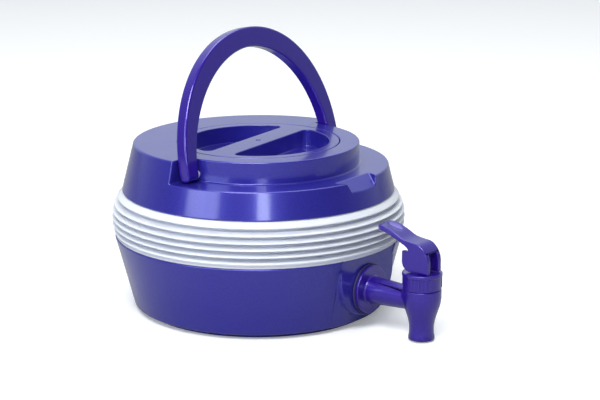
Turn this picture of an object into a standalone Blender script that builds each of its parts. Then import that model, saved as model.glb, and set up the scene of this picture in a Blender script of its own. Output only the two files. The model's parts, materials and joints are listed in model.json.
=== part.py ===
"""Collapsible countertop water dispenser: a bowl with a lever tap, a bellows middle and a
top shell with a screw lid and a folding carry handle.

Metres, +Z up.  The origin is the centre of the surface that the base stands on, the tap
points along -Y and the handle's pivots lie along X.
"""
import math

import bmesh
import bpy
from mathutils import Matrix, Vector

# ---- general ----
GAP = 0.0003                    # clearance between pieces that rest on one another
WALL = 0.0024                   # moulded wall of the bowl and the top shell
TURN_STEPS = 60                 # facets round the large turned pieces
FINE_STEPS = 28                 # facets round the small turned pieces

# ---- bowl ----
FOOT_HEIGHT = 0.0032
FOOT_INSET = 0.0067             # flat foot inside the base's edge
BASE_RADIUS = 0.0882
RIM_RADIUS = 0.1015
BOWL_HEIGHT = 0.0499            # base edge to rim
RIM_LIP_WIDTH = 0.0105
RIM_LIP_DEPTH = 0.0036
PAD_HALF_WIDTH = 0.030          # flat seat of the tap
PAD_BOTTOM = 0.0095
PAD_INSET = 0.0059              # seat's face inside the rim

# ---- bellows ----
BELLOWS_HEIGHT = 0.0315         # rim of the bowl to rim of the top shell, folded
BELLOWS_WALL = 0.0024           # measured along the radius
FOLD_DEPTH = 0.008
FOLDS_PROUD = (-0.0025, 0.0001, 0.0015, 0.0017, 0.0014, 0.0005)    # of the bowl's rim, from the top
FLANGE_THICKNESS = 0.0012
CLAMP_THICKNESS = 0.002

# ---- top shell ----
SHELL_RIM_RADIUS = 0.0960
SHELL_HEIGHT = 0.0342
SHELL_TOP_RADIUS = 0.0874
LEDGE_DROP = 0.0153             # depth of the ledge that the folded handle lies on
DISC_RADIUS = 0.0710
SCOOP_INSET = 0.0059            # thumb scoop's upper edge inside the shell's top radius
SCOOP_ANGLE = math.radians(31)
SCOOP_TOP_HALF = 0.021
SCOOP_BOTTOM_HALF = 0.0085

# ---- lid ----
LID_RADIUS = 0.0567
LID_FLANGE = 0.0029
LID_OVERHANG = 0.0047           # flange beyond the threaded skirt
LID_DEPTH = 0.0140
LID_FLOOR = 0.0020
LID_SKIRT_WALL = 0.0022
GRIP_WIDTH = 0.0187
GRIP_ANGLE = math.radians(6.7)
RECESS_CORNER = 0.0045
GASKET_THICKNESS = 0.0011
THREAD_PITCH = 0.006
THREAD_ROUND = 0.0010
THREAD_TURNS = 1.1
THREAD_START = 0.0005           # first turn above the lid's lower edge
THREAD_OFFSET = 0.00195         # lid's thread above the neck's
NECK_CLEARANCE = 0.0010         # lid's skirt to neck, less than the two threads' ridges
NECK_DEPTH = 0.0188

# ---- handle ----
HANDLE_DEPTH = 0.0088
HANDLE_LEAN = math.radians(11.3)
HANDLE_CLEARANCE = 0.0016       # disc's wall to the inside of the legs at the pivots
HANDLE_LEG = 0.0112
HANDLE_REACH = 0.0904           # pivot to the top of the arch
HANDLE_BAR = 0.0139             # height of the bar at the top of the arch
HANDLE_EDGE = 0.0010
PIVOT_FORWARD = 0.0036          # pivot axis in front of the body's axis
PIN_RADIUS = 0.003
PIN_HEAD = 0.005

# ---- tap ----
TAP_HEIGHT = 0.0278
PIPE_LENGTH = 0.0449            # seat's face to the barrel's axis
FLANGE_RADIUS = 0.0168
TAP_FLANGE = 0.0020
WASHER_THICKNESS = 0.0012
WASHER_RADIUS = 0.0176
PIPE_ROOT_RADIUS = 0.0095
PIPE_END_RADIUS = 0.00815
WATERWAY_RADIUS = 0.0058
SHANK_RADIUS = 0.0092
SHANK_LENGTH = 0.0125
NUT_RADIUS = 0.0150
NUT_THICKNESS = 0.0060
BARREL_INSET = 0.0006           # barrel inside the bonnet
BARREL_BOTTOM = 0.0010
SHOULDER_RISE = 0.0086          # pipe's axis to the underside of the bonnet's skirt
NOZZLE_RADIUS = 0.0089
NOZZLE_WAIST = 0.00835
NOZZLE_BORE = 0.0062
CHAMBER_WALL = 0.0018           # bonnet's threaded neck
SEAT_HEIGHT = 0.0165
BONNET_RADIUS = 0.0138
BONNET_HEIGHT = 0.0113
BONNET_PLATE = 0.0025
BONNET_WALL = 0.0019
STEM_RADIUS = 0.0028
STEM_HEAD_LENGTH = 0.0080
SEAL_CLEARANCE = 0.0016
SEAL_HEIGHT = 0.0060
SPRING_WIRE = 0.0005
SPRING_RADIUS = 0.0052
SPRING_TURNS = 5

# ---- lever ----
LEVER_WIDTH = 0.0160
CHEEK_THICKNESS = 0.0034
LEVER_PIVOT = 0.0084            # above the bonnet
CHEEK_HEIGHT = 0.0145
CHEEK_BACK = 0.0116             # reach of the cheeks towards the body
CHEEK_FRONT = 0.0098
CAM_RADIUS = 0.0070
PADDLE_REACH = 0.0347
PADDLE_TOP = 0.0293             # tip of the paddle above the bonnet
LEVER_PIN_RADIUS = 0.0018

# ---- derived levels and radii ----
FOOT_RADIUS = BASE_RADIUS - FOOT_INSET
PAD_FACE = RIM_RADIUS - PAD_INSET
FOLD_RADII = [RIM_RADIUS + proud for proud in FOLDS_PROUD]
SCOOP_TOP = SHELL_TOP_RADIUS - SCOOP_INSET
LID_SKIRT_RADIUS = LID_RADIUS - LID_OVERHANG
RECESS_RADIUS = LID_SKIRT_RADIUS - LID_SKIRT_WALL
HANDLE_INNER = DISC_RADIUS + HANDLE_CLEARANCE
HANDLE_OUTER = HANDLE_INNER + HANDLE_LEG
TAP_REACH = PAD_FACE + PIPE_LENGTH
BARREL_RADIUS = BONNET_RADIUS - BARREL_INSET
BARREL_SHOULDER = TAP_HEIGHT + SHOULDER_RISE
BONNET_TOP = BARREL_SHOULDER + BONNET_HEIGHT
CHAMBER_RADIUS = BONNET_RADIUS - BONNET_WALL - GAP - CHAMBER_WALL
SEAL_RADIUS = CHAMBER_RADIUS - SEAL_CLEARANCE
RIM_Z = FOOT_HEIGHT + BOWL_HEIGHT
SHELL_RIM_Z = RIM_Z + BELLOWS_HEIGHT
TOP_Z = SHELL_RIM_Z + SHELL_HEIGHT
LEDGE_Z = TOP_Z - LEDGE_DROP
BOWL_SLOPE = (RIM_RADIUS - BASE_RADIUS) / BOWL_HEIGHT
SHELL_SLOPE = (SHELL_TOP_RADIUS - SHELL_RIM_RADIUS) / SHELL_HEIGHT
LIP_RADIUS = RIM_RADIUS - RIM_LIP_WIDTH
SHELL_LIP_RADIUS = SHELL_RIM_RADIUS - RIM_LIP_WIDTH
PIVOT_Z = LEDGE_Z + HANDLE_DEPTH / 2 + 0.0004
PIVOT = Vector((0.0, -PIVOT_FORWARD, PIVOT_Z))
NOTCH_WALL_Y = ((TOP_Z - PIVOT_Z) * math.tan(HANDLE_LEAN) - PIVOT_FORWARD
                + HANDLE_DEPTH / 2 / math.cos(HANDLE_LEAN) + GAP)
NECK_RADIUS = LID_SKIRT_RADIUS + NECK_CLEARANCE
SEAT_RADIUS = LID_RADIUS + GAP
LID_SEAT_Z = TOP_Z - LID_FLANGE - GASKET_THICKNESS - 2 * GAP
LEVER_AXIS = Vector((0.0, -TAP_REACH, BONNET_TOP + LEVER_PIVOT))

parts = None
cutters = None


# ---------------------------------------------------------------- helpers
def clear_scene():
    """Empty the file and make the two collections."""
    global parts, cutters
    for old in list(bpy.data.objects):
        bpy.data.objects.remove(old, do_unlink=True)
    parts = bpy.data.collections.new("water_dispenser")
    cutters = bpy.data.collections.new("cutters")
    bpy.context.scene.collection.children.link(parts)
    bpy.context.scene.collection.children.link(cutters)


def make_material(name, colour, roughness, metallic=0.0, alpha=1.0):
    """Principled material of one sub-part."""
    material = bpy.data.materials.new(name)
    material.use_nodes = True
    shader = material.node_tree.nodes["Principled BSDF"]
    shader.inputs["Base Color"].default_value = (*colour, 1.0)
    shader.inputs["Roughness"].default_value = roughness
    shader.inputs["Metallic"].default_value = metallic
    shader.inputs["Alpha"].default_value = alpha
    return material


def add_object(name, data, collection=None):
    """Object of a mesh or curve, in the parts or the given collection."""
    made = bpy.data.objects.new(name, data)
    (collection or parts).objects.link(made)
    if collection is cutters:
        made.hide_render = True
        made.display_type = "WIRE"
    return made


def finish_piece(piece, material, smooth_angle=35):
    """Give a piece its own material and smooth shading."""
    piece.data.materials.clear()
    piece.data.materials.append(material)
    if piece.type == "MESH":
        piece.data.shade_smooth()
        piece.data.set_sharp_from_angle(angle=math.radians(smooth_angle))
    return piece


def bake(piece):
    """Replace an object's data by its evaluated, welded mesh."""
    bpy.context.view_layer.update()
    evaluated = piece.evaluated_get(bpy.context.evaluated_depsgraph_get())
    mesh = bpy.data.meshes.new_from_object(evaluated)
    mesh.name = piece.name
    work = bmesh.new()
    work.from_mesh(mesh)
    bmesh.ops.remove_doubles(work, verts=work.verts, dist=1e-6)
    bmesh.ops.dissolve_degenerate(work, edges=work.edges, dist=1e-6)
    work.to_mesh(mesh)
    work.free()
    name = piece.name
    home = piece.users_collection[0]
    matrix = piece.matrix_world.copy()
    bpy.data.objects.remove(piece, do_unlink=True)
    baked = add_object(name, mesh, home)
    baked.matrix_world = matrix
    return baked


def combine(target, tool, operation="DIFFERENCE"):
    """Cut, join or intersect a mesh object with another and bake the result."""
    modifier = target.modifiers.new(tool.name, "BOOLEAN")
    modifier.operation = operation
    modifier.solver = "EXACT"
    modifier.object = tool
    return bake(target)


def turned(name, outline, steps=TURN_STEPS, collection=None, location=(0, 0, 0), axis="Z"):
    """Solid turned about an axis from (radius, height) points, down the outer side.

    An outline that doesn't start and end on the axis is closed into a ring.
    """
    mesh = bpy.data.meshes.new(name)
    count = len(outline)
    ring = outline[0][0] > 1e-9
    edges = [(i, i + 1) for i in range(count - 1)]
    if ring:
        edges.append((count - 1, 0))
    mesh.from_pydata([(r, 0.0, z) for r, z in outline], edges, [])
    piece = add_object(name, mesh, collection)
    screw = piece.modifiers.new("turn", "SCREW")
    screw.steps = steps
    screw.render_steps = steps
    screw.use_merge_vertices = True
    screw.merge_threshold = 1e-6
    screw.use_normal_calculate = False
    piece = bake(piece)
    if axis == "-Y":
        piece.data.transform(Matrix.Rotation(math.radians(90), 4, "X"))
    elif axis == "X":
        piece.data.transform(Matrix.Rotation(math.radians(90), 4, "Y"))
    piece.data.transform(Matrix.Translation(location))
    return piece


def cylinder(name, radius, low, high, steps=FINE_STEPS, collection=None, location=(0, 0, 0),
             axis="Z"):
    """Plain cylinder between two stations on its axis."""
    outline = [(0.0, high), (radius, high), (radius, low), (0.0, low)]
    return turned(name, outline, steps, collection, location, axis)


def block(name, low, high, collection=None):
    """Box between two corners."""
    mesh = bpy.data.meshes.new(name)
    work = bmesh.new()
    bmesh.ops.create_cube(work, size=1.0)
    size = [high[i] - low[i] for i in range(3)]
    middle = [(high[i] + low[i]) / 2 for i in range(3)]
    bmesh.ops.scale(work, vec=size, verts=work.verts)
    bmesh.ops.translate(work, vec=middle, verts=work.verts)
    work.to_mesh(mesh)
    work.free()
    return add_object(name, mesh, collection)


def flat_outline(name, points, half_thickness, matrix, collection=None, edge=0.0):
    """Outline of (x, y) points, extruded both ways from its own plane."""
    curve = bpy.data.curves.new(name, "CURVE")
    curve.dimensions = "2D"
    curve.fill_mode = "BOTH"
    curve.extrude = half_thickness - edge
    curve.bevel_depth = edge
    curve.bevel_resolution = 0
    curve.offset = -edge
    spline = curve.splines.new("POLY")
    spline.points.add(len(points) - 1)
    for point, (x, y) in zip(spline.points, points):
        point.co = (x, y, 0.0, 1.0)
    spline.use_cyclic_u = True
    piece = bake(add_object(name, curve, collection))
    piece.data.transform(matrix)
    return piece


def arc(centre, radius, start, end, count):
    """Points on an arc, angles in degrees."""
    angles = [math.radians(start + (end - start) * i / count) for i in range(count + 1)]
    return [(centre[0] + radius * math.cos(a), centre[1] + radius * math.sin(a)) for a in angles]


def smooth_path(points, per_span=4):
    """Catmull-Rom path through a few (x, y) points."""
    padded = [points[0]] + list(points) + [points[-1]]
    path = []
    for i in range(1, len(padded) - 2):
        p0, p1, p2, p3 = (Vector(padded[i + k]) for k in (-1, 0, 1, 2))
        for step in range(per_span):
            t = step / per_span
            path.append(tuple(0.5 * ((2 * p1) + (p2 - p0) * t + (2 * p0 - 5 * p1 + 4 * p2 - p3) * t ** 2
                                     + (3 * p1 - p0 - 3 * p2 + p3) * t ** 3)))
    path.append(tuple(points[-1]))
    return path


def coil(name, radius, wire, bottom, pitch, turns, per_turn, location=(0, 0, 0), collection=None):
    """Round wire wound up a helix, as a closed mesh."""
    curve = bpy.data.curves.new(name, "CURVE")
    curve.dimensions = "3D"
    curve.bevel_depth = wire
    curve.bevel_resolution = 1 if wire > 0.0008 else 0
    curve.use_fill_caps = True
    spline = curve.splines.new("POLY")
    count = int(round(turns * per_turn))
    spline.points.add(count)
    for i, point in enumerate(spline.points):
        angle = 2 * math.pi * i / per_turn
        height = bottom + pitch * i / per_turn
        point.co = (location[0] + radius * math.cos(angle), location[1] + radius * math.sin(angle),
                    location[2] + height, 1.0)
    return bake(add_object(name, curve, collection))


def upright(origin, towards_x=False):
    """Plane of an outline stood upright: its y points up and its x along -Y (or X)."""
    if towards_x:
        return Matrix.Translation(origin) @ Matrix.Rotation(math.radians(90), 4, "X")
    turn = Matrix(((0, 0, 1, 0), (-1, 0, 0, 0), (0, 1, 0, 0), (0, 0, 0, 1)))
    return Matrix.Translation(origin) @ turn


# ---------------------------------------------------------------- bowl and bellows
def bowl_radius(height, inset=0.0):
    return BASE_RADIUS + BOWL_SLOPE * (height - FOOT_HEIGHT) - inset


def pad_outline(top, margin=0.0):
    """U shape of the tap's seat: x across, y up."""
    half = PAD_HALF_WIDTH + margin
    bottom = PAD_BOTTOM - margin
    return [(half, top), (-half, top)] + arc((0.0, bottom + half), half, 180, 360, 20)


def make_bowl():
    """Tapered bowl that stands on a flat stepped foot, with a lip under its rim and the tap's seat."""
    edge = 0.0015
    outline = [
        (0.0, RIM_Z), (RIM_RADIUS - 0.0006, RIM_Z), (bowl_radius(RIM_Z - 0.0006), RIM_Z - 0.0006),
        (bowl_radius(FOOT_HEIGHT + edge), FOOT_HEIGHT + edge), (BASE_RADIUS - edge, FOOT_HEIGHT),
        (FOOT_RADIUS + 0.0004, FOOT_HEIGHT), (FOOT_RADIUS, 0.0), (0.0, 0.0)]
    bowl = turned("bowl", outline)
    front = Vector((0.0, -PAD_FACE, 0.0))
    pad = flat_outline("pad", pad_outline(RIM_Z - 0.008), 0.010, upright(front, True), cutters)
    bowl = combine(bowl, pad, "UNION")
    side = PAD_HALF_WIDTH + 0.00004
    seat_cut = block("seat_cut", (-side, -PAD_FACE - 0.02, -0.01), (side, -PAD_FACE, RIM_Z + 0.01), cutters)
    bowl = combine(bowl, seat_cut)

    lip_z = RIM_Z - RIM_LIP_DEPTH
    floor_z = FOOT_HEIGHT + WALL
    inside = [(0.0, RIM_Z + 0.01), (LIP_RADIUS, RIM_Z + 0.01), (LIP_RADIUS, lip_z),
              (bowl_radius(lip_z, WALL + 0.0006) - 0.002, lip_z - 0.002),
              (bowl_radius(floor_z + 0.002, WALL), floor_z + 0.002),
              (bowl_radius(floor_z, WALL) - 0.002, floor_z), (FOOT_RADIUS - WALL, floor_z),
              (FOOT_RADIUS - WALL - 0.0006, WALL), (0.0, WALL)]
    cavity = turned("bowl_cavity", inside, collection=cutters)
    guard = flat_outline("pad_guard", pad_outline(RIM_Z + 0.006, WALL), 0.02,
                         upright(front + Vector((0, WALL - 0.02, 0)), True), cutters)
    cavity = combine(cavity, guard)
    bowl = combine(bowl, cavity)
    pocket = flat_outline("nut_pocket", pad_outline(RIM_Z - 0.010, -WALL), 0.012,
                          upright(front + Vector((0, WALL + 0.012, 0)), True), cutters)
    bowl = combine(bowl, pocket)
    hole = cylinder("tap_hole", SHANK_RADIUS + GAP, PAD_FACE - 0.01, PAD_FACE + 0.01,
                    collection=cutters, location=(0, 0, TAP_HEIGHT), axis="-Y")
    return combine(bowl, hole)


def fold_outline():
    """Zigzag of the bellows from its upper flange down to its lower one."""
    top = SHELL_RIM_Z - GAP - FLANGE_THICKNESS
    bottom = RIM_Z + GAP + FLANGE_THICKNESS
    pitch = (top - bottom) / len(FOLD_RADII)
    path = [(SHELL_RIM_RADIUS - 0.0006, top)]
    for i, radius in enumerate(FOLD_RADII):
        ridge_z = top - pitch * (i + 0.5)
        path.append((radius, ridge_z))
        if i < len(FOLD_RADII) - 1:
            path.append(((radius + FOLD_RADII[i + 1]) / 2 - FOLD_DEPTH, ridge_z - pitch / 2))
    path.append((RIM_RADIUS - 0.0009, bottom))
    return path


def make_bellows():
    """Thin folded sleeve with a flat flange at each end."""
    folds = fold_outline()
    top = SHELL_RIM_Z - GAP
    bottom = RIM_Z + GAP
    outline = [(SHELL_LIP_RADIUS + 0.0005, top), (folds[0][0], top)] + folds[1:-1]
    outline += [(folds[-1][0], folds[-1][1]), (folds[-1][0], bottom), (LIP_RADIUS + 0.0005, bottom),
                (LIP_RADIUS + 0.0005, bottom + FLANGE_THICKNESS)]
    outline += [(radius - BELLOWS_WALL, height) for radius, height in reversed(folds)]
    outline += [(SHELL_LIP_RADIUS + 0.0005, top - FLANGE_THICKNESS)]
    return turned("bellows", outline, 48)


def clamp_outline(lip_radius, flange_face, up):
    """L-shaped ring: a flange on the bellows' flange and a skirt inside the rim's lip."""
    out = lip_radius + 0.0048
    side = lip_radius - GAP
    inner = side - 0.0022
    far = flange_face + up * CLAMP_THICKNESS
    near = flange_face
    skirt = flange_face - up * (2 * GAP + FLANGE_THICKNESS + RIM_LIP_DEPTH + 0.002)
    path = [(inner, far), (out, far), (out, near), (side, near), (side, skirt), (inner, skirt)]
    return path if up > 0 else list(reversed(path))


def make_clamp_rings():
    lower = turned("lower_clamp_ring",
                   clamp_outline(LIP_RADIUS, RIM_Z + 2 * GAP + FLANGE_THICKNESS, 1), 48)
    upper = turned("upper_clamp_ring",
                   clamp_outline(SHELL_LIP_RADIUS, SHELL_RIM_Z - 2 * GAP - FLANGE_THICKNESS, -1), 48)
    return lower, upper


# ---------------------------------------------------------------- top shell
def shell_radius(height, inset=0.0):
    return SHELL_RIM_RADIUS + SHELL_SLOPE * (height - SHELL_RIM_Z) - inset


def notch_block(name, margin=0.0):
    """Space above the ledge, in front of the notch's end walls and outside the disc."""
    outer = SHELL_RIM_RADIUS + 0.02
    outline = [(DISC_RADIUS - margin, TOP_Z + 0.01), (outer, TOP_Z + 0.01), (outer, LEDGE_Z - margin),
               (DISC_RADIUS - margin, LEDGE_Z - margin)]
    ring = turned(name, outline, collection=cutters)
    behind = block(name + "_back", (-0.2, NOTCH_WALL_Y + margin, 0.0), (0.2, 0.2, 0.2), cutters)
    return combine(ring, behind)


def scoop_block(name, margin=0.0):
    """Wedge that dishes the ledge's outer edge under the folded handle's bar."""
    slope = Matrix.Rotation(SCOOP_ANGLE, 4, "X")
    run = 0.020
    points = [(-SCOOP_TOP_HALF - margin, 0.002 + margin), (-SCOOP_BOTTOM_HALF - margin, -run),
              (SCOOP_BOTTOM_HALF + margin, -run), (SCOOP_TOP_HALF + margin, 0.002 + margin)]
    place = Matrix.Translation((0, -SCOOP_TOP, LEDGE_Z)) @ slope @ Matrix.Translation((0, 0, 0.01 - margin))
    return flat_outline(name, points, 0.01, place, cutters)


def neck_ring():
    """Tube under the lid's seat."""
    seat = SEAT_RADIUS + WALL
    tube = NECK_RADIUS + WALL
    outline = [(NECK_RADIUS - 0.001, TOP_Z + 0.001), (seat, TOP_Z + 0.001), (seat, LID_SEAT_Z - WALL),
               (tube, LID_SEAT_Z - WALL - 0.001), (tube, TOP_Z - NECK_DEPTH),
               (NECK_RADIUS - 0.001, TOP_Z - NECK_DEPTH)]
    return turned("neck_ring", outline, collection=cutters)


def make_top_shell():
    """Conical shell with the handle's ledge and notch, a thumb scoop and the threaded neck."""
    edge = 0.0012
    outline = [(0.0, TOP_Z), (SHELL_TOP_RADIUS - edge, TOP_Z), (shell_radius(TOP_Z - edge), TOP_Z - edge),
               (shell_radius(SHELL_RIM_Z + 0.0005), SHELL_RIM_Z + 0.0005),
               (SHELL_RIM_RADIUS - 0.0006, SHELL_RIM_Z), (0.0, SHELL_RIM_Z)]
    shell = turned("top_shell", outline)
    shell = combine(shell, notch_block("notch"))
    shell = combine(shell, scoop_block("scoop"))

    lip_z = SHELL_RIM_Z + RIM_LIP_DEPTH
    inside = [(0.0, TOP_Z - WALL), (shell_radius(TOP_Z - WALL, WALL), TOP_Z - WALL),
              (shell_radius(lip_z + 0.002, WALL), lip_z + 0.002), (SHELL_LIP_RADIUS, lip_z),
              (SHELL_LIP_RADIUS, SHELL_RIM_Z - 0.01), (0.0, SHELL_RIM_Z - 0.01)]
    cavity = turned("shell_cavity", inside, collection=cutters)
    cavity = combine(cavity, notch_block("notch_guard", WALL))
    cavity = combine(cavity, scoop_block("scoop_guard", WALL))
    cavity = combine(cavity, neck_ring())
    shell = combine(shell, cavity)

    mouth = [(0.0, TOP_Z + 0.01), (SEAT_RADIUS, TOP_Z + 0.01), (SEAT_RADIUS, LID_SEAT_Z),
             (NECK_RADIUS, LID_SEAT_Z), (NECK_RADIUS, SHELL_RIM_Z - 0.01), (0.0, SHELL_RIM_Z - 0.01)]
    shell = combine(shell, turned("mouth", mouth, collection=cutters))
    pins = cylinder("pivot_holes", PIN_RADIUS + GAP, -0.09, 0.09, 24, cutters, PIVOT, "X")
    shell = combine(shell, pins)
    thread = coil("neck_thread", NECK_RADIUS + 0.3 * THREAD_ROUND, THREAD_ROUND,
                  TOP_Z - LID_DEPTH + THREAD_START, THREAD_PITCH, THREAD_TURNS, TURN_STEPS,
                  collection=cutters)
    return combine(shell, thread, "UNION")


# ---------------------------------------------------------------- lid
def recess_outline(side):
    """One D-shaped finger recess with rounded corners, on one side of the grip."""
    chord = GRIP_WIDTH / 2
    reach = RECESS_RADIUS - RECESS_CORNER
    corner_y = chord + RECESS_CORNER
    corner_x = math.sqrt(reach ** 2 - corner_y ** 2)
    tilt = math.degrees(math.atan2(corner_y, corner_x))
    points = arc((corner_x, corner_y), RECESS_CORNER, -90, tilt, 6)
    points += arc((0, 0), RECESS_RADIUS, tilt, 180 - tilt, 24)[1:]
    points += arc((-corner_x, corner_y), RECESS_CORNER, 180 - tilt, 270, 6)[1:]
    return [(side * x, side * y) for x, y in points]


def make_lid():
    """Flush screw lid with a grip bar between two finger recesses."""
    edge = 0.0004
    flange_z = TOP_Z - LID_FLANGE
    bottom_z = TOP_Z - LID_DEPTH
    outline = [(0.0, TOP_Z), (LID_RADIUS - edge, TOP_Z), (LID_RADIUS, TOP_Z - edge), (LID_RADIUS, flange_z),
               (LID_SKIRT_RADIUS, flange_z), (LID_SKIRT_RADIUS, bottom_z), (0.0, bottom_z)]
    lid = turned("screw_lid", outline)
    depth = LID_DEPTH - LID_FLOOR
    turn = Matrix.Rotation(GRIP_ANGLE, 4, "Z")
    for side in (1, -1):
        place = Matrix.Translation((0, 0, TOP_Z)) @ turn
        recess = flat_outline("recess", recess_outline(side), depth, place, cutters)
        lid = combine(lid, recess)
    core = block("grip_core", (-0.036, WALL - GRIP_WIDTH / 2, bottom_z - 0.01),
                 (0.036, GRIP_WIDTH / 2 - WALL, TOP_Z - WALL), cutters)
    core.data.transform(turn)
    lid = combine(lid, core)
    thread = coil("lid_thread", LID_SKIRT_RADIUS - 0.3 * THREAD_ROUND, THREAD_ROUND,
                  bottom_z + THREAD_START + THREAD_OFFSET, THREAD_PITCH, THREAD_TURNS, TURN_STEPS,
                  collection=cutters)
    return lid, thread


def make_gasket():
    """Flat ring between the lid's flange and its seat."""
    low = LID_SEAT_Z + GAP
    high = low + GASKET_THICKNESS
    inner = NECK_RADIUS + 0.0003
    outer = SEAT_RADIUS - 0.0004
    return turned("lid_gasket", [(inner, high), (outer, high), (outer, low), (inner, low)])


# ---------------------------------------------------------------- handle
def handle_outline():
    """Arch in the handle's own plane: x across, y from the pivots to the top."""
    top = HANDLE_REACH
    inner_top = HANDLE_REACH - HANDLE_BAR
    outer = [(HANDLE_OUTER, 0.0), (0.981 * HANDLE_OUTER, 0.26 * top), (0.895 * HANDLE_OUTER, 0.457 * top),
             (0.730 * HANDLE_OUTER, 0.705 * top), (0.482 * HANDLE_OUTER, 0.884 * top),
             (0.229 * HANDLE_OUTER, 0.970 * top), (0.0, top)]
    inner = [(0.0, inner_top), (0.2 * HANDLE_INNER, 0.985 * inner_top), (0.415 * HANDLE_INNER, 0.9 * inner_top),
             (0.64 * HANDLE_INNER, 0.742 * inner_top), (0.843 * HANDLE_INNER, 0.46 * inner_top),
             (0.985 * HANDLE_INNER, 0.15 * inner_top), (HANDLE_INNER, 0.0)]
    right = smooth_path(outer, 5)
    back = smooth_path(inner, 5)
    left = [(-x, y) for x, y in reversed(right[:-1])]
    left_back = [(-x, y) for x, y in reversed(back[1:])]
    return right + left + left_back + back


def make_handle():
    """Folding carry handle, modelled lying in its pivot plane and leaned back."""
    handle = flat_outline("handle", handle_outline(), HANDLE_DEPTH / 2, Matrix.Identity(4), edge=HANDLE_EDGE)
    for side in (-1, 1):
        low, high = sorted((side * HANDLE_INNER, side * HANDLE_OUTER))
        foot = cylinder("foot", HANDLE_DEPTH / 2, low, high, 24, cutters, axis="X")
        handle = combine(handle, foot, "UNION")
    for side in (-1, 1):
        low, high = sorted((side * (HANDLE_INNER - 0.01), side * (HANDLE_OUTER - 0.003)))
        bore = cylinder("bore", PIN_RADIUS + GAP, low, high, 24, cutters, axis="X")
        handle = combine(handle, bore)
    lean = Matrix.Rotation(math.radians(90) - HANDLE_LEAN, 4, "X")
    handle.matrix_world = Matrix.Translation(PIVOT) @ lean
    return handle


def make_handle_pin(name, side):
    """Headed pin from inside the disc's wall into one leg."""
    tip = HANDLE_OUTER - 0.003 - GAP
    inner_wall = math.sqrt((DISC_RADIUS - WALL) ** 2 - PIVOT_FORWARD ** 2)
    head = inner_wall - 0.0012
    outline = [(0.0, tip), (PIN_RADIUS, tip), (PIN_RADIUS, head), (PIN_HEAD, head), (PIN_HEAD, head - 0.0018),
               (0.0, head - 0.0018)]
    if side < 0:
        outline = [(radius, -station) for radius, station in reversed(outline)]
    return turned(name, outline, 24, location=PIVOT, axis="X")


# ---------------------------------------------------------------- tap
def nozzle_outline():
    """Outside of the barrel, from the bonnet's shoulder down to the spout's lip."""
    return [(BARREL_RADIUS, BARREL_SHOULDER - GAP), (BARREL_RADIUS, 0.0300), (0.0124, 0.0250),
            (0.0106, 0.0195), (0.0092, 0.0148), (0.0085, 0.0110), (NOZZLE_WAIST, 0.0075),
            (NOZZLE_RADIUS, 0.0030), (NOZZLE_RADIUS, BARREL_BOTTOM)]


def make_tap_body():
    """Barrel and spout, inlet pipe, flange and threaded shank in one moulding."""
    axis = (0, -TAP_REACH, 0)
    thread_radius = BONNET_RADIUS - BONNET_WALL - GAP
    barrel_top = BONNET_TOP - BONNET_PLATE - GAP
    outline = [(0.0, barrel_top), (thread_radius, barrel_top), (thread_radius, BARREL_SHOULDER - GAP)]
    outline += nozzle_outline() + [(0.0, BARREL_BOTTOM)]
    body = turned("tap_body", outline, FINE_STEPS, location=axis)
    flange_back = PAD_FACE + WASHER_THICKNESS + 2 * GAP
    flange_face = flange_back + TAP_FLANGE
    shank_end = PAD_FACE - SHANK_LENGTH
    pipe = [(0.0, TAP_REACH), (PIPE_END_RADIUS, TAP_REACH), (PIPE_END_RADIUS, TAP_REACH - BARREL_RADIUS),
            (PIPE_ROOT_RADIUS, flange_face + 0.001), (PIPE_ROOT_RADIUS + 0.001, flange_face),
            (FLANGE_RADIUS - 0.0006, flange_face), (FLANGE_RADIUS, flange_face - 0.0006),
            (FLANGE_RADIUS, flange_back), (SHANK_RADIUS, flange_back), (SHANK_RADIUS, shank_end),
            (0.0, shank_end)]
    inlet = turned("inlet", pipe, FINE_STEPS, cutters, (0, 0, TAP_HEIGHT), "-Y")
    body = combine(body, inlet, "UNION")
    chamber = [(0.0, BONNET_TOP), (CHAMBER_RADIUS, BONNET_TOP), (CHAMBER_RADIUS, SEAT_HEIGHT + 0.0055),
               (NOZZLE_BORE + 0.0006, SEAT_HEIGHT), (NOZZLE_BORE, SEAT_HEIGHT - 0.002),
               (NOZZLE_BORE, -0.01), (0.0, -0.01)]
    body = combine(body, turned("chamber", chamber, FINE_STEPS, cutters, axis))
    waterway = cylinder("waterway", WATERWAY_RADIUS, 0.05, TAP_REACH, 24, cutters, (0, 0, TAP_HEIGHT), "-Y")
    return combine(body, waterway)


def make_tap_rings():
    """Washers outside and inside the seat, and the nut that clamps them."""
    place = (0, 0, TAP_HEIGHT)
    bore = SHANK_RADIUS + GAP
    low = PAD_FACE + GAP
    outside = [(bore, low + WASHER_THICKNESS), (WASHER_RADIUS, low + WASHER_THICKNESS), (WASHER_RADIUS, low),
               (bore, low)]
    outer = turned("tap_washer_outer", outside, FINE_STEPS, location=place, axis="-Y")
    high = PAD_FACE - WALL - GAP
    inside = [(bore, high), (NUT_RADIUS, high), (NUT_RADIUS, high - WASHER_THICKNESS),
              (bore, high - WASHER_THICKNESS)]
    inner = turned("tap_washer_inner", inside, FINE_STEPS, location=place, axis="-Y")
    top = high - WASHER_THICKNESS - GAP
    nut = cylinder("tap_nut", NUT_RADIUS, top - NUT_THICKNESS, top, 6, None, place, "-Y")
    hole = cylinder("nut_hole", bore, 0.05, 0.12, FINE_STEPS, cutters, place, "-Y")
    return outer, inner, combine(nut, hole)


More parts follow.
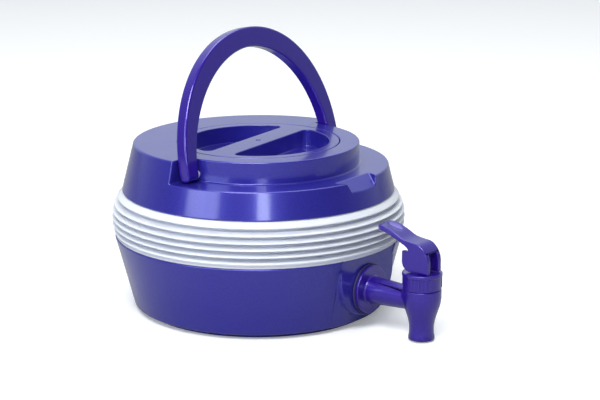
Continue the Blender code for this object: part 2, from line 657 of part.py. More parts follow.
def make_bonnet():
    """Ribbed cap on the barrel, with a hole for the stem."""
    axis = (0, -TAP_REACH, 0)
    inner = BONNET_RADIUS - BONNET_WALL
    under = BONNET_TOP - BONNET_PLATE
    hole = STEM_RADIUS + GAP
    outline = [(hole, BONNET_TOP), (BONNET_RADIUS - 0.0005, BONNET_TOP), (BONNET_RADIUS, BONNET_TOP - 0.0005),
               (BONNET_RADIUS, BARREL_SHOULDER), (inner, BARREL_SHOULDER), (inner, under), (hole, under)]
    bonnet = turned("tap_bonnet", outline, FINE_STEPS, location=axis)
    for i in range(12):
        angle = math.radians(15 + 30 * i)
        rib = block("rib", (BONNET_RADIUS - 0.001, -0.0005, BARREL_SHOULDER + 0.001),
                    (BONNET_RADIUS + 0.0004, 0.0005, BONNET_TOP - 0.0035), cutters)
        rib.data.transform(Matrix.Translation(axis) @ Matrix.Rotation(angle, 4, "Z"))
        bonnet = combine(bonnet, rib, "UNION")
    return bonnet


def make_valve():
    """Stem with its head in the lever, the rubber seal on its foot and the return spring."""
    axis = (0, -TAP_REACH, 0)
    seal_low = SEAT_HEIGHT + GAP
    seal_high = seal_low + SEAL_HEIGHT + 0.0005
    foot = seal_low + 0.0025
    head_half = LEVER_WIDTH / 2 - CHEEK_THICKNESS - GAP
    head_low = BONNET_TOP + 2 * GAP
    head_high = LEVER_AXIS.z + 0.0042
    collar_low = seal_high + GAP
    outline = [(0.0, head_low + 0.002), (STEM_RADIUS, head_low + 0.002), (STEM_RADIUS, collar_low + 0.0015),
               (0.0065, collar_low + 0.0015), (0.0065, collar_low), (STEM_RADIUS - 0.0006, collar_low),
               (STEM_RADIUS - 0.0006, foot), (0.0, foot)]
    stem = turned("valve_stem", outline, 24, location=axis)
    half = STEM_HEAD_LENGTH / 2
    head = block("stem_head", (-head_half, -TAP_REACH - half, head_low), (head_half, -TAP_REACH + half, head_high),
                 cutters)
    stem = combine(stem, head, "UNION")
    eye = cylinder("stem_eye", LEVER_PIN_RADIUS + GAP, -0.02, 0.02, 20, cutters, LEVER_AXIS, "X")
    stem = combine(stem, eye)
    socket = STEM_RADIUS - 0.0006 + GAP
    seal_outline = [(socket, seal_high), (SEAL_RADIUS, seal_high), (SEAL_RADIUS, seal_low + 0.0035),
                    (NOZZLE_BORE, seal_low), (0.0, seal_low), (0.0, foot - GAP), (socket, foot - GAP)]
    seal = cupped("valve_seal", seal_outline, axis)
    spring_low = collar_low + 0.0015 + GAP + SPRING_WIRE
    spring_high = BONNET_TOP - BONNET_PLATE - GAP - SPRING_WIRE
    pitch = (spring_high - spring_low) / SPRING_TURNS
    spring = coil("valve_spring", SPRING_RADIUS, SPRING_WIRE, spring_low, pitch, SPRING_TURNS, 16, axis)
    return stem, seal, spring


def cupped(name, outline, location):
    """Turned cup whose outline touches the axis in two of its points."""
    start = outline.index(min(outline, key=lambda point: (point[0], point[1])))
    ordered = outline[start + 1:] + outline[:start + 1]
    return turned(name, ordered, 24, location=location)


def lever_side():
    """Side view of the lever: x away from the body, y above the bonnet."""
    slot_top = CHEEK_HEIGHT
    top = [(-PADDLE_REACH, PADDLE_TOP - 0.0030), (-PADDLE_REACH + 0.0006, PADDLE_TOP - 0.0010),
           (-PADDLE_REACH + 0.004, PADDLE_TOP), (-0.0245, 0.0283), (-0.0175, 0.0256), (-0.0105, 0.0222),
           (-0.0040, 0.0210), (0.0020, 0.0202), (0.0064, 0.0168), (0.0090, 0.0125), (CHEEK_FRONT, 0.0085)]
    path = smooth_path(top, 3)
    path += [(CHEEK_FRONT, GAP)]
    cam = (CAM_RADIUS - CHEEK_BACK, CAM_RADIUS + GAP)
    path += arc(cam, CAM_RADIUS, 270, 180, 6)
    path += [(-CHEEK_BACK, slot_top), (-0.0062, slot_top), (-0.0085, 0.0172), (-0.0125, 0.0192),
             (-0.0200, 0.0226), (-0.0280, 0.0252), (-PADDLE_REACH + 0.0010, PADDLE_TOP - 0.0042)]
    return path


def make_lever():
    """Lever with a dished paddle over two cam cheeks."""
    base = Vector((0.0, -TAP_REACH, BONNET_TOP))
    lever = flat_outline("tap_lever", lever_side(), LEVER_WIDTH / 2, upright(base), edge=0.0006)
    slot_half = LEVER_WIDTH / 2 - CHEEK_THICKNESS
    slot = block("lever_slot", (-slot_half, -TAP_REACH - 0.02, BONNET_TOP - 0.01),
                 (slot_half, -TAP_REACH + 0.02, BONNET_TOP + CHEEK_HEIGHT + 0.0005), cutters)
    lever = combine(lever, slot)
    half = LEVER_WIDTH / 2
    tip = -TAP_REACH + PADDLE_REACH
    nose = half + 0.0004
    plan = [(-nose, -TAP_REACH - 0.03), (nose, -TAP_REACH - 0.03)] + arc((0, tip - nose), nose, 0, 180, 12)
    keep = flat_outline("paddle_plan", plan, 0.04, Matrix.Translation((0, 0, BONNET_TOP + 0.01)), cutters)
    lever = combine(lever, keep, "INTERSECT")
    dish = block_dish("paddle_dish", (0, tip - 0.0125, BONNET_TOP + PADDLE_TOP + 0.0052))
    lever = combine(lever, dish)
    for side in (-1, 1):
        low, high = sorted((side * slot_half * 0.5, side * (half - 0.0012)))
        bore = cylinder("pin_bore", LEVER_PIN_RADIUS + GAP, low, high, 20, cutters, LEVER_AXIS, "X")
        lever = combine(lever, bore)
    pin = cylinder("lever_pin", LEVER_PIN_RADIUS, -half + 0.0012 + GAP, half - 0.0012 - GAP, 20, None,
                   LEVER_AXIS, "X")
    return lever, pin


def block_dish(name, centre):
    """Ellipsoid that hollows the paddle's top."""
    mesh = bpy.data.meshes.new(name)
    work = bmesh.new()
    bmesh.ops.create_uvsphere(work, u_segments=20, v_segments=12, radius=1.0)
    bmesh.ops.scale(work, vec=(0.0068, 0.0112, 0.0068), verts=work.verts)
    bmesh.ops.rotate(work, cent=(0, 0, 0), matrix=Matrix.Rotation(math.radians(14), 3, "X"), verts=work.verts)
    bmesh.ops.translate(work, vec=centre, verts=work.verts)
    work.to_mesh(mesh)
    work.free()
    return add_object(name, mesh, cutters)


# ---------------------------------------------------------------- assembly
def set_origin(piece, point):
    """Move an object's origin to a point and leave its shape where it is."""
    offset = Vector(point) - piece.matrix_world.translation
    piece.data.transform(Matrix.Translation(-(piece.matrix_world.to_3x3().inverted() @ offset)))
    piece.matrix_world = Matrix.Translation(offset) @ piece.matrix_world


def main():
    clear_scene()
    blue = (0.075, 0.055, 0.42)
    tap_blue = (0.070, 0.045, 0.40)
    milky = (0.80, 0.81, 0.85)

    finish_piece(make_bowl(), make_material("bowl_blue", blue, 0.35, 0.2))
    finish_piece(make_bellows(), make_material("bellows_milky", milky, 0.4, alpha=0.85))
    lower, upper = make_clamp_rings()
    finish_piece(lower, make_material("lower_clamp_blue", blue, 0.4))
    finish_piece(upper, make_material("upper_clamp_blue", blue, 0.4))
    finish_piece(make_top_shell(), make_material("shell_blue", blue, 0.28, 0.3))

    lid, thread = make_lid()
    lid = combine(lid, thread, "UNION")
    set_origin(finish_piece(lid, make_material("lid_blue", blue, 0.28, 0.3)), (0, 0, TOP_Z))
    finish_piece(make_gasket(), make_material("gasket_rubber", (0.75, 0.75, 0.75), 0.6))

    finish_piece(make_handle(), make_material("handle_blue", tap_blue, 0.3, 0.2))
    for name, side in (("handle_pin_near", -1), ("handle_pin_far", 1)):
        finish_piece(make_handle_pin(name, side), make_material(name + "_blue", tap_blue, 0.4))

    finish_piece(make_tap_body(), make_material("tap_blue", tap_blue, 0.32, 0.15))
    outer, inner, nut = make_tap_rings()
    finish_piece(outer, make_material("outer_washer_rubber", (0.12, 0.10, 0.35), 0.6))
    finish_piece(inner, make_material("inner_washer_rubber", (0.75, 0.75, 0.75), 0.6))
    finish_piece(nut, make_material("nut_blue", tap_blue, 0.4))
    finish_piece(make_bonnet(), make_material("bonnet_blue", tap_blue, 0.35, 0.15))
    stem, seal, spring = make_valve()
    set_origin(finish_piece(stem, make_material("stem_white", (0.8, 0.8, 0.8), 0.4)), LEVER_AXIS)
    finish_piece(seal, make_material("seal_rubber", (0.8, 0.8, 0.78), 0.6))
    finish_piece(spring, make_material("spring_steel", (0.6, 0.6, 0.6), 0.25, 1.0))
    lever, pin = make_lever()
    set_origin(finish_piece(lever, make_material("lever_blue", tap_blue, 0.3, 0.15)), LEVER_AXIS)
    set_origin(finish_piece(pin, make_material("pin_blue", tap_blue, 0.4)), LEVER_AXIS)


main()
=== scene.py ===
"""Folding water dispenser: pearl-blue bowl and top shell, milky bellows, screw lid, carry
handle and push-lever tap, laid out as an add-on with one operator for each piece."""
import json
import math

import bmesh
import bpy
from mathutils import Matrix, Vector


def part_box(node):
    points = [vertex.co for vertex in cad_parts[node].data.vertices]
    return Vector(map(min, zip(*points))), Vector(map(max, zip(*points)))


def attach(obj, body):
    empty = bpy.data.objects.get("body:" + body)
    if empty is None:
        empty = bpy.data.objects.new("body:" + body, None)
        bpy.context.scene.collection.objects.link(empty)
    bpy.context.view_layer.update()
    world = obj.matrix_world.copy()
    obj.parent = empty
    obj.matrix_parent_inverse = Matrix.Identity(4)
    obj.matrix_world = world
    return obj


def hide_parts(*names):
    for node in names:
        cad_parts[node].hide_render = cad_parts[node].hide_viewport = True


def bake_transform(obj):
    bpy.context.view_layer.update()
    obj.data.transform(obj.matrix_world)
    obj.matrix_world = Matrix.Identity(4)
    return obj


bl_info = {
    "name": "Folding Water Dispenser",
    "version": (1, 0, 0),
    "blender": (4, 5, 0),
    "location": "View3D > Sidebar > Dispenser",
    "description": "Builds a folding water dispenser with a lever tap around its frame",
    "category": "Object",
}

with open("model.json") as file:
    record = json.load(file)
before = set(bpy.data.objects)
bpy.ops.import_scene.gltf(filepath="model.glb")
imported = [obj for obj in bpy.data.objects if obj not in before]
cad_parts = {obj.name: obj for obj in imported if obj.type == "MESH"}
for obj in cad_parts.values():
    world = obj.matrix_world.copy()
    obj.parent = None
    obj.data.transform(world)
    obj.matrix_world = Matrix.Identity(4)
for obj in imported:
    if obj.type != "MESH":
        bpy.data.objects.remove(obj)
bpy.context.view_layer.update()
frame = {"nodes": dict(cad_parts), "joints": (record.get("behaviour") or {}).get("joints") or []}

UP = Vector((0.0, 0.0, 1.0))
TURN_STEPS = 180
FINE_STEPS = 96
SLIT = 0.0003                   # clearance between pieces that touch
SHELL_TURN = math.radians(1.1)  # keeps the spun shell's vertices off the cutting planes

# levels and radii that the frame gives
BOWL_LOW, BOWL_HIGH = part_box("bowl")
SHELL_LOW, SHELL_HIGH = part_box("top_shell")
LID_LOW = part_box("screw_lid")[0]
TAP_LOW, TAP_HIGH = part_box("tap_body")
BONNET_LOW, BONNET_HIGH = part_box("tap_bonnet")
SPRING_LOW, SPRING_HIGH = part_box("valve_spring")
RIM_Z = BOWL_HIGH.z
SHELL_RIM_Z = SHELL_LOW.z
TOP_Z = SHELL_HIGH.z
TAP_AXIS = Vector((0.0, (BONNET_LOW.y + BONNET_HIGH.y) / 2, 0.0))


def joint(name):
    """One joint's entry in the frame."""
    return next(entry for entry in frame["joints"] if entry["name"] == name)


# ---------------------------------------------------------------- settings
def length(name, default, description):
    return bpy.props.FloatProperty(name=name, default=default, description=description,
                                   min=0.0, precision=4, unit="LENGTH")


def angle(name, degrees, description):
    return bpy.props.FloatProperty(name=name, default=math.radians(degrees),
                                   description=description, subtype="ANGLE")


def colour(name, default, description):
    return bpy.props.FloatVectorProperty(name=name, default=default, size=3, min=0.0, max=1.0,
                                         description=description, subtype="COLOR")


class DispenserBody(bpy.types.PropertyGroup):
    """Sizes of the bowl, the bellows and the top shell."""
    wall: length("Wall", 0.0024, "Moulded wall of the bowl and the top shell")
    base_radius: length("Base radius", 0.0882, "Outer radius at the bowl's lower edge")
    rim_radius: length("Rim radius", 0.1015, "Outer radius at the bowl's rim")
    foot_height: length("Foot height", 0.0032, "Height of the flat foot that the bowl stands on")
    foot_radius: length("Foot radius", 0.0815, "Radius of the flat foot")
    seat_half: length("Seat half width", 0.030, "Half the width of the tap's flat seat")
    seat_bottom: length("Seat bottom", 0.0095, "Lowest point of the tap's flat seat")
    seat_face: length("Seat face", 0.0956, "Distance of the tap's seat from the body's axis")
    fold_depth: length("Fold depth", 0.0072, "Depth of the bellows' folds")
    shell_rim: length("Shell rim radius", 0.0960, "Outer radius at the top shell's rim")
    shell_top: length("Shell top radius", 0.0874, "Outer radius at the top shell's upper edge")
    disc_radius: length("Disc radius", 0.0710, "Radius of the raised disc in front")
    ledge_drop: length("Ledge drop", 0.0153, "Depth of the ledge that the folded handle lies on")
    scoop_top: length("Scoop top", 0.0815, "Distance of the thumb scoop's upper edge from the axis")
    scoop_angle: angle("Scoop angle", 31.0, "Slope of the thumb scoop")


class DispenserLid(bpy.types.PropertyGroup):
    """Sizes of the screw lid and the handle."""
    lid_radius: length("Lid radius", 0.0567, "Radius of the lid's flange")
    skirt_radius: length("Skirt radius", 0.0520, "Radius of the threaded skirt")
    recess_radius: length("Recess radius", 0.0498, "Outer radius of the two finger recesses")
    recess_depth: length("Recess depth", 0.0120, "Depth of the finger recesses")
    grip_width: length("Grip width", 0.0187, "Width of the bar between the recesses")
    grip_angle: angle("Grip angle", 6.7, "Turn of the grip bar from the handle's pivots")
    handle_depth: length("Handle depth", 0.0088, "Depth of the handle's bar")
    handle_bar: length("Handle bar", 0.0139, "Height of the handle's bar at its top")
    handle_lean: angle("Handle lean", 11.3, "Lean of the raised handle away from the tap")
    handle_reach: length("Handle reach", 0.0904, "Pivot to the top of the arch")
    handle_inner: length("Handle inside", 0.0726, "Inside of the legs at the pivots")
    handle_outer: length("Handle outside", 0.0838, "Outside of the legs at the pivots")


class DispenserTap(bpy.types.PropertyGroup):
    """Sizes of the tap and its lever."""
    pipe_height: length("Pipe height", 0.0278, "Height of the tap's pipe")
    flange_radius: length("Flange radius", 0.0168, "Radius of the flange on the seat")
    pipe_root: length("Pipe root radius", 0.0095, "Radius of the pipe at the flange")
    pipe_end: length("Pipe end radius", 0.00815, "Radius of the pipe at the barrel")
    barrel_radius: length("Barrel radius", 0.0132, "Radius of the valve's barrel")
    lever_width: length("Lever width", 0.0160, "Width of the push lever")
    cheek: length("Cheek", 0.0034, "Thickness of the lever's two cheeks")


class DispenserFinish(bpy.types.PropertyGroup):
    """Colours of the dispenser's materials."""
    pearl: colour("Pearl", (0.024, 0.019, 0.325), "Pigment of the pearl-blue body")
    gloss: colour("Gloss", (0.030, 0.005, 0.320), "Pigment of the handle and the tap")
    sleeve: colour("Sleeve", (0.76, 0.79, 0.90), "Milky plastic of the bellows")
    rubber: colour("Rubber", (0.62, 0.62, 0.60), "Washers and gasket")
    steel: colour("Steel", (0.60, 0.60, 0.60), "Valve spring")


# ---------------------------------------------------------------- mesh tools
def rounded(corners, step=math.radians(11)):
    """Path through (a, b) or (a, b, radius) corners, each with a radius turned into an arc."""
    path = []
    for i, corner in enumerate(corners):
        here = Vector(corner[:2])
        radius = corner[2] if len(corner) > 2 else 0.0
        if radius <= 0.0 or i in (0, len(corners) - 1):
            path.append(tuple(here))
            continue
        back = (Vector(corners[i - 1][:2]) - here)
        ahead = (Vector(corners[i + 1][:2]) - here)
        half = back.angle(ahead) / 2
        reach = min(radius / math.tan(half), 0.49 * back.length, 0.49 * ahead.length)
        radius = reach * math.tan(half)
        back.normalize()
        ahead.normalize()
        centre = here + (back + ahead).normalized() * radius / math.sin(half)
        start = here + back * reach - centre
        sweep = start.angle_signed(here + ahead * reach - centre)
        count = max(2, math.ceil(abs(sweep) / step))
        for k in range(count + 1):
            spoke = start.copy()
            spoke.rotate(Matrix.Rotation(-sweep * k / count, 2))
            path.append(tuple(centre + spoke))
    return path


def arc(centre, radius, start, end, count):
    """Points on an arc, angles in degrees."""
    angles = [math.radians(start + (end - start) * i / count) for i in range(count + 1)]
    return [(centre[0] + radius * math.cos(a), centre[1] + radius * math.sin(a)) for a in angles]


def smooth_path(points, per_span=6):
    """Catmull-Rom path through a few points."""
    padded = [points[0]] + list(points) + [points[-1]]
    path = []
    for i in range(1, len(padded) - 2):
        p0, p1, p2, p3 = (Vector(padded[i + k]) for k in (-1, 0, 1, 2))
        for step in range(per_span):
            t = step / per_span
            bend = (2 * p0 - 5 * p1 + 4 * p2 - p3) * t ** 2 + (3 * p1 - p0 - 3 * p2 + p3) * t ** 3
            path.append(tuple(0.5 * (2 * p1 + (p2 - p0) * t + bend)))
    path.append(tuple(points[-1]))
    return path


def as_object(name, work, place=None):
    """Object of a finished bmesh, its doubles merged and its faces pointing out."""
    bmesh.ops.remove_doubles(work, verts=work.verts, dist=1e-6)
    bmesh.ops.dissolve_degenerate(work, edges=work.edges, dist=1e-6)
    if place is not None:
        bmesh.ops.transform(work, matrix=place, verts=work.verts)
    bmesh.ops.recalc_face_normals(work, faces=work.faces)
    mesh = bpy.data.meshes.new(name)
    work.to_mesh(mesh)
    work.free()
    made = bpy.data.objects.new(name, mesh)
    bpy.context.scene.collection.objects.link(made)
    return made


def turned(name, outline, steps=TURN_STEPS, place=None, offset=0.0):
    """Solid turned about Z from (radius, height) points; a ring's outline is closed."""
    work = bmesh.new()
    points = [work.verts.new((r * math.cos(offset), r * math.sin(offset), z)) for r, z in outline]
    edges = [work.edges.new(pair) for pair in zip(points, points[1:])]
    if outline[0][0] > 1e-9:
        edges.append(work.edges.new((points[-1], points[0])))
    bmesh.ops.spin(work, geom=points + edges, cent=(0, 0, 0), axis=UP, dvec=(0, 0, 0),
                   angle=2 * math.pi, steps=steps, use_merge=True)
    return as_object(name, work, place)


def cylinder(name, radius, low, high, steps=FINE_STEPS, place=None):
    """Plain cylinder between two stations on Z."""
    return turned(name, [(0.0, high), (radius, high), (radius, low), (0.0, low)], steps, place)


def slab(name, outline, low, high, place=None):
    """Flat outline given a thickness."""
    work = bmesh.new()
    ring = [work.verts.new((x, y, low)) for x, y in outline]
    face = work.faces.new(ring)
    grown = bmesh.ops.extrude_face_region(work, geom=[face])["geom"]
    bmesh.ops.translate(work, vec=(0, 0, high - low),
                        verts=[part for part in grown if isinstance(part, bmesh.types.BMVert)])
    return as_object(name, work, place)


def block(name, low, high):
    """Box between two corners."""
    work = bmesh.new()
    bmesh.ops.create_cube(work, size=1.0)
    bmesh.ops.scale(work, vec=Vector(high) - Vector(low), verts=work.verts)
    bmesh.ops.translate(work, vec=(Vector(high) + Vector(low)) / 2, verts=work.verts)
    return as_object(name, work)


def settle(piece):
    """Apply an object's modifiers to its mesh."""
    bpy.context.view_layer.update()
    evaluated = piece.evaluated_get(bpy.context.evaluated_depsgraph_get())
    mesh = bpy.data.meshes.new_from_object(evaluated)
    work = bmesh.new()
    work.from_mesh(mesh)
    bmesh.ops.remove_doubles(work, verts=work.verts, dist=1e-6)
    bmesh.ops.dissolve_degenerate(work, edges=work.edges, dist=2e-6)
    work.to_mesh(mesh)
    work.free()
    old = piece.data
    piece.modifiers.clear()
    piece.data = mesh
    bpy.data.meshes.remove(old)
    mesh.name = piece.name
    return piece


def combine(target, tool, operation="DIFFERENCE"):
    """Cut, join or intersect one object with another, which is used up."""
    modifier = target.modifiers.new("combine", "BOOLEAN")
    modifier.operation = operation
    modifier.solver = "EXACT"
    modifier.object = tool
    settle(target)
    bpy.data.objects.remove(tool, do_unlink=True)
    return target


def smooth(piece, sharp=50):
    """Shade a piece smooth except at its sharp edges."""
    piece.data.shade_smooth()
    piece.data.set_sharp_from_angle(angle=math.radians(sharp))
    flat = piece.modifiers.new("flat faces", "WEIGHTED_NORMAL")
    flat.keep_sharp = True
    return piece


def soften(piece, width, limit=30, segments=3):
    """Round a piece's sharp edges and keep its flat faces shading flat."""
    bevel = piece.modifiers.new("soft edges", "BEVEL")
    bevel.width = width
    bevel.segments = segments
    bevel.limit_method = "ANGLE"
    bevel.angle_limit = math.radians(limit)
    bevel.use_clamp_overlap = False
    bevel.miter_outer = "MITER_ARC"
    settle(piece)
    return smooth(piece)


def upright(origin):
    """Plane of an outline stood upright, its y up and its x along -Y."""
    turn = Matrix(((0, 0, 1, 0), (-1, 0, 0, 0), (0, 1, 0, 0), (0, 0, 0, 1)))
    return Matrix.Translation(origin) @ turn


def facing_tap(origin):
    """Plane of an outline stood upright, its y up and its x along X."""
    return Matrix.Translation(origin) @ Matrix.Rotation(math.radians(90), 4, "X")


def complete(piece, material, body, slot, *nodes):
    """Give a finished piece its material and body, and let it stand for CAD nodes."""
    piece.data.materials.clear()
    piece.data.materials.append(material)
    if nodes:
        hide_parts(*nodes)
    if body:
        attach(piece, body)
    return piece


# ---------------------------------------------------------------- materials
def node(tree, kind, place, **values):
    """Add a shader node, with its settings and its inputs' values by name."""
    made = tree.nodes.new(kind)
    made.location = place
    for name, value in values.items():
        if hasattr(made, name):
            setattr(made, name, value)
        else:
            made.inputs[name.replace("_", " ").title()].default_value = value
    return made


def new_group(name, inputs, outputs):
    """Shader node group with named float inputs and (name, type) outputs."""
    tree = bpy.data.node_groups.new(name, "ShaderNodeTree")
    tree.interface.new_socket("Vector", in_out="INPUT", socket_type="NodeSocketVector")
    for label, default in inputs:
        socket = tree.interface.new_socket(label, in_out="INPUT", socket_type="NodeSocketFloat")
        socket.default_value = default
    for label, kind in outputs:
        tree.interface.new_socket(label, in_out="OUTPUT", socket_type="NodeSocket" + kind)
    entry = node(tree, "NodeGroupInput", (-700, 0))
    leave = node(tree, "NodeGroupOutput", (700, 0))
    return tree, entry, leave


def moulded_surface():
    """Group: faint long waves and fine orange peel of a moulded wall, as one height."""
    found = bpy.data.node_groups.get("moulded surface")
    if found:
        return found
    tree, entry, leave = new_group(
        "moulded surface", [("Wave Scale", 28.0), ("Peel Scale", 900.0), ("Peel Share", 0.2)],
        [("Height", "Float"), ("Patch", "Float")])
    wave = node(tree, "ShaderNodeTexNoise", (-400, 200), detail=1.0)
    peel = node(tree, "ShaderNodeTexNoise", (-400, -150), detail=2.0)
    share = node(tree, "ShaderNodeMath", (-100, -100), operation="MULTIPLY")
    total = node(tree, "ShaderNodeMath", (150, 0), operation="ADD")
    links = tree.links
    links.new(entry.outputs["Vector"], wave.inputs["Vector"])
    links.new(entry.outputs["Vector"], peel.inputs["Vector"])
    links.new(entry.outputs["Wave Scale"], wave.inputs["Scale"])
    links.new(entry.outputs["Peel Scale"], peel.inputs["Scale"])
    links.new(peel.outputs["Fac"], share.inputs[0])
    links.new(entry.outputs["Peel Share"], share.inputs[1])
    links.new(wave.outputs["Fac"], total.inputs[0])
    links.new(share.outputs[0], total.inputs[1])
    links.new(total.outputs[0], leave.inputs["Height"])
    links.new(wave.outputs["Fac"], leave.inputs["Patch"])
    return tree


def pearl_flake():
    """Group: tiny bright flakes of a pearl pigment, as a mask that changes from flake to flake."""
    found = bpy.data.node_groups.get("pearl flake")
    if found:
        return found
    tree, entry, leave = new_group(
        "pearl flake", [("Flake Scale", 3200.0), ("Amount", 0.35)],
        [("Flake", "Float"), ("Tilt", "Float")])
    cells = node(tree, "ShaderNodeTexVoronoi", (-450, 100), feature="F1")
    tone = node(tree, "ShaderNodeSeparateColor", (-220, 150))
    gain = node(tree, "ShaderNodeMath", (50, 120), operation="MULTIPLY")
    links = tree.links
    links.new(entry.outputs["Vector"], cells.inputs["Vector"])
    links.new(entry.outputs["Flake Scale"], cells.inputs["Scale"])
    links.new(cells.outputs["Color"], tone.inputs["Color"])
    links.new(tone.outputs["Red"], gain.inputs[0])
    links.new(entry.outputs["Amount"], gain.inputs[1])
    links.new(gain.outputs[0], leave.inputs["Flake"])
    links.new(tone.outputs["Green"], leave.inputs["Tilt"])
    return tree


def fine_marks():
    """Group: short faint handling scratches, as a mask that is mostly empty."""
    found = bpy.data.node_groups.get("fine marks")
    if found:
        return found
    tree, entry, leave = new_group(
        "fine marks", [("Mark Scale", 60.0), ("Cover", 0.035)], [("Mark", "Float")])
    stretch = node(tree, "ShaderNodeMapping", (-500, 0))
    stretch.inputs["Scale"].default_value = (1.0, 9.0, 0.8)
    stretch.inputs["Rotation"].default_value = (0.3, 0.5, 0.9)
    streaks = node(tree, "ShaderNodeTexNoise", (-300, 0), detail=4.0)
    cut = node(tree, "ShaderNodeMath", (-60, 0), operation="SUBTRACT")
    limit = node(tree, "ShaderNodeMath", (140, 0), operation="LESS_THAN")
    away = node(tree, "ShaderNodeMath", (320, 0), operation="ABSOLUTE")
    links = tree.links
    links.new(entry.outputs["Vector"], stretch.inputs["Vector"])
    links.new(stretch.outputs["Vector"], streaks.inputs["Vector"])
    links.new(entry.outputs["Mark Scale"], streaks.inputs["Scale"])
    links.new(streaks.outputs["Fac"], cut.inputs[0])
    cut.inputs[1].default_value = 0.62
    links.new(cut.outputs[0], away.inputs[0])
    links.new(away.outputs[0], limit.inputs[0])
    links.new(entry.outputs["Cover"], limit.inputs[1])
    links.new(limit.outputs[0], leave.inputs["Mark"])
    return tree


def use_group(tree, group, place, coordinates, **values):
    """Place a shared group in a material, fed by the coordinates."""
    made = node(tree, "ShaderNodeGroup", place)
    made.node_tree = group
    for name, value in values.items():
        made.inputs[name.replace("_", " ").title()].default_value = value
    tree.links.new(coordinates, made.inputs["Vector"])
    return made


def start_material(name, **values):
    """Material with a Principled shader, set by its inputs' names, and Object coordinates."""
    made = bpy.data.materials.new(name)
    made.use_nodes = True
    tree = made.node_tree
    shader = tree.nodes["Principled BSDF"]
    for label, value in values.items():
        shader.inputs[label.replace("_", " ")].default_value = value
    coordinates = node(tree, "ShaderNodeTexCoord", (-1300, 0)).outputs["Object"]
    return made, tree, shader, coordinates


def shade_range(tree, factor, low, high, place):
    """Map a 0 to 1 factor onto a range of values."""
    made = node(tree, "ShaderNodeMapRange", place)
    made.inputs["To Min"].default_value = low
    made.inputs["To Max"].default_value = high
    tree.links.new(factor, made.inputs["Value"])
    return made.outputs["Result"]


def tinted(tree, factor, dark, light, place):
    """Mix two colours by a factor."""
    made = node(tree, "ShaderNodeMix", place, data_type="RGBA")
    made.inputs["A"].default_value = (*dark, 1.0)
    made.inputs["B"].default_value = (*light, 1.0)
    tree.links.new(factor, made.inputs["Factor"])
    return made.outputs["Result"]


def bumped(tree, shader, height, strength, distance, place=(-250, -450)):
    """Feed a height to the shader's normal through a Bump node."""
    made = node(tree, "ShaderNodeBump", place)
    made.inputs["Strength"].default_value = strength
    made.inputs["Distance"].default_value = distance
    tree.links.new(height, made.inputs["Height"])
    tree.links.new(made.outputs["Normal"], shader.inputs["Normal"])
    return made


def pearl_plastic(name, pigment, metal, rough, flake, skin):
    """Pearl-pigmented plastic under its own clear skin."""
    made, tree, shader, where = start_material(
        name, Roughness=rough, IOR=1.5, Coat_Weight=1.0, Coat_Roughness=skin, Coat_IOR=1.5)
    surface = use_group(tree, moulded_surface(), (-1000, -300), where)
    flakes = use_group(tree, pearl_flake(), (-1000, 100), where, amount=flake)
    bright = [min(1.0, 1.9 * c + 0.012) for c in pigment]
    dark = [0.86 * c for c in pigment]
    tree.links.new(tinted(tree, flakes.outputs["Flake"], dark, bright, (-500, 200)),
                   shader.inputs["Base Color"])
    tree.links.new(shade_range(tree, surface.outputs["Patch"], rough - 0.03, rough + 0.03,
                               (-500, -150)), shader.inputs["Roughness"])
    tree.links.new(shade_range(tree, flakes.outputs["Tilt"], metal - 0.06, metal + 0.06,
                               (-500, 0)), shader.inputs["Metallic"])
    bumped(tree, shader, surface.outputs["Height"], 0.05, 0.0006)
    return made


def body_plastic(finish):
    """Bowl, shell and lid: the pearl plastic with a few handling marks in its skin."""
    made = pearl_plastic("pearl blue plastic", finish.pearl, 0.38, 0.36, 0.35, 0.14)
    tree = made.node_tree
    shader = tree.nodes["Principled BSDF"]
    where = next(n for n in tree.nodes if n.type == "TEX_COORD").outputs["Object"]
    marks = use_group(tree, fine_marks(), (-1000, 400), where)
    tree.links.new(shade_range(tree, marks.outputs["Mark"], 1.0, 0.85, (-500, 420)),
                   shader.inputs["Coat Weight"])
    return made


def milky_plastic(finish):
    """Bellows: soft milky plastic, lighter and cloudier in places."""
    made, tree, shader, where = start_material(
        "milky sleeve plastic", Roughness=0.34, IOR=1.49, Subsurface_Weight=0.6,
        Subsurface_Scale=0.004, Coat_Weight=0.35, Coat_Roughness=0.18)
    shader.inputs["Subsurface Radius"].default_value = (1.0, 1.05, 1.2)
    surface = use_group(tree, moulded_surface(), (-1000, -300), where,
                        wave_scale=22.0, peel_scale=500.0, peel_share=0.12)
    sleeve = finish.sleeve
    cloudy = [min(1.0, 1.12 * c) for c in sleeve]
    tree.links.new(tinted(tree, surface.outputs["Patch"], sleeve, cloudy, (-500, 200)),
                   shader.inputs["Base Color"])
    tree.links.new(shade_range(tree, surface.outputs["Patch"], 0.30, 0.42, (-500, -100)),
                   shader.inputs["Roughness"])
    bumped(tree, shader, surface.outputs["Height"], 0.12, 0.0008)
    return made


def soft_rubber(name, tint):
    """Washers, gasket and seal."""
    made, tree, shader, where = start_material(name, Roughness=0.6, IOR=1.5)
    surface = use_group(tree, moulded_surface(), (-1000, -200), where,
                        wave_scale=90.0, peel_scale=2400.0, peel_share=0.5)
    worn = [0.82 * c for c in tint]
    tree.links.new(tinted(tree, surface.outputs["Patch"], worn, tint, (-500, 200)),
                   shader.inputs["Base Color"])
    tree.links.new(shade_range(tree, surface.outputs["Patch"], 0.52, 0.7, (-500, -50)),
                   shader.inputs["Roughness"])
    bumped(tree, shader, surface.outputs["Height"], 0.3, 0.0002)
    return made


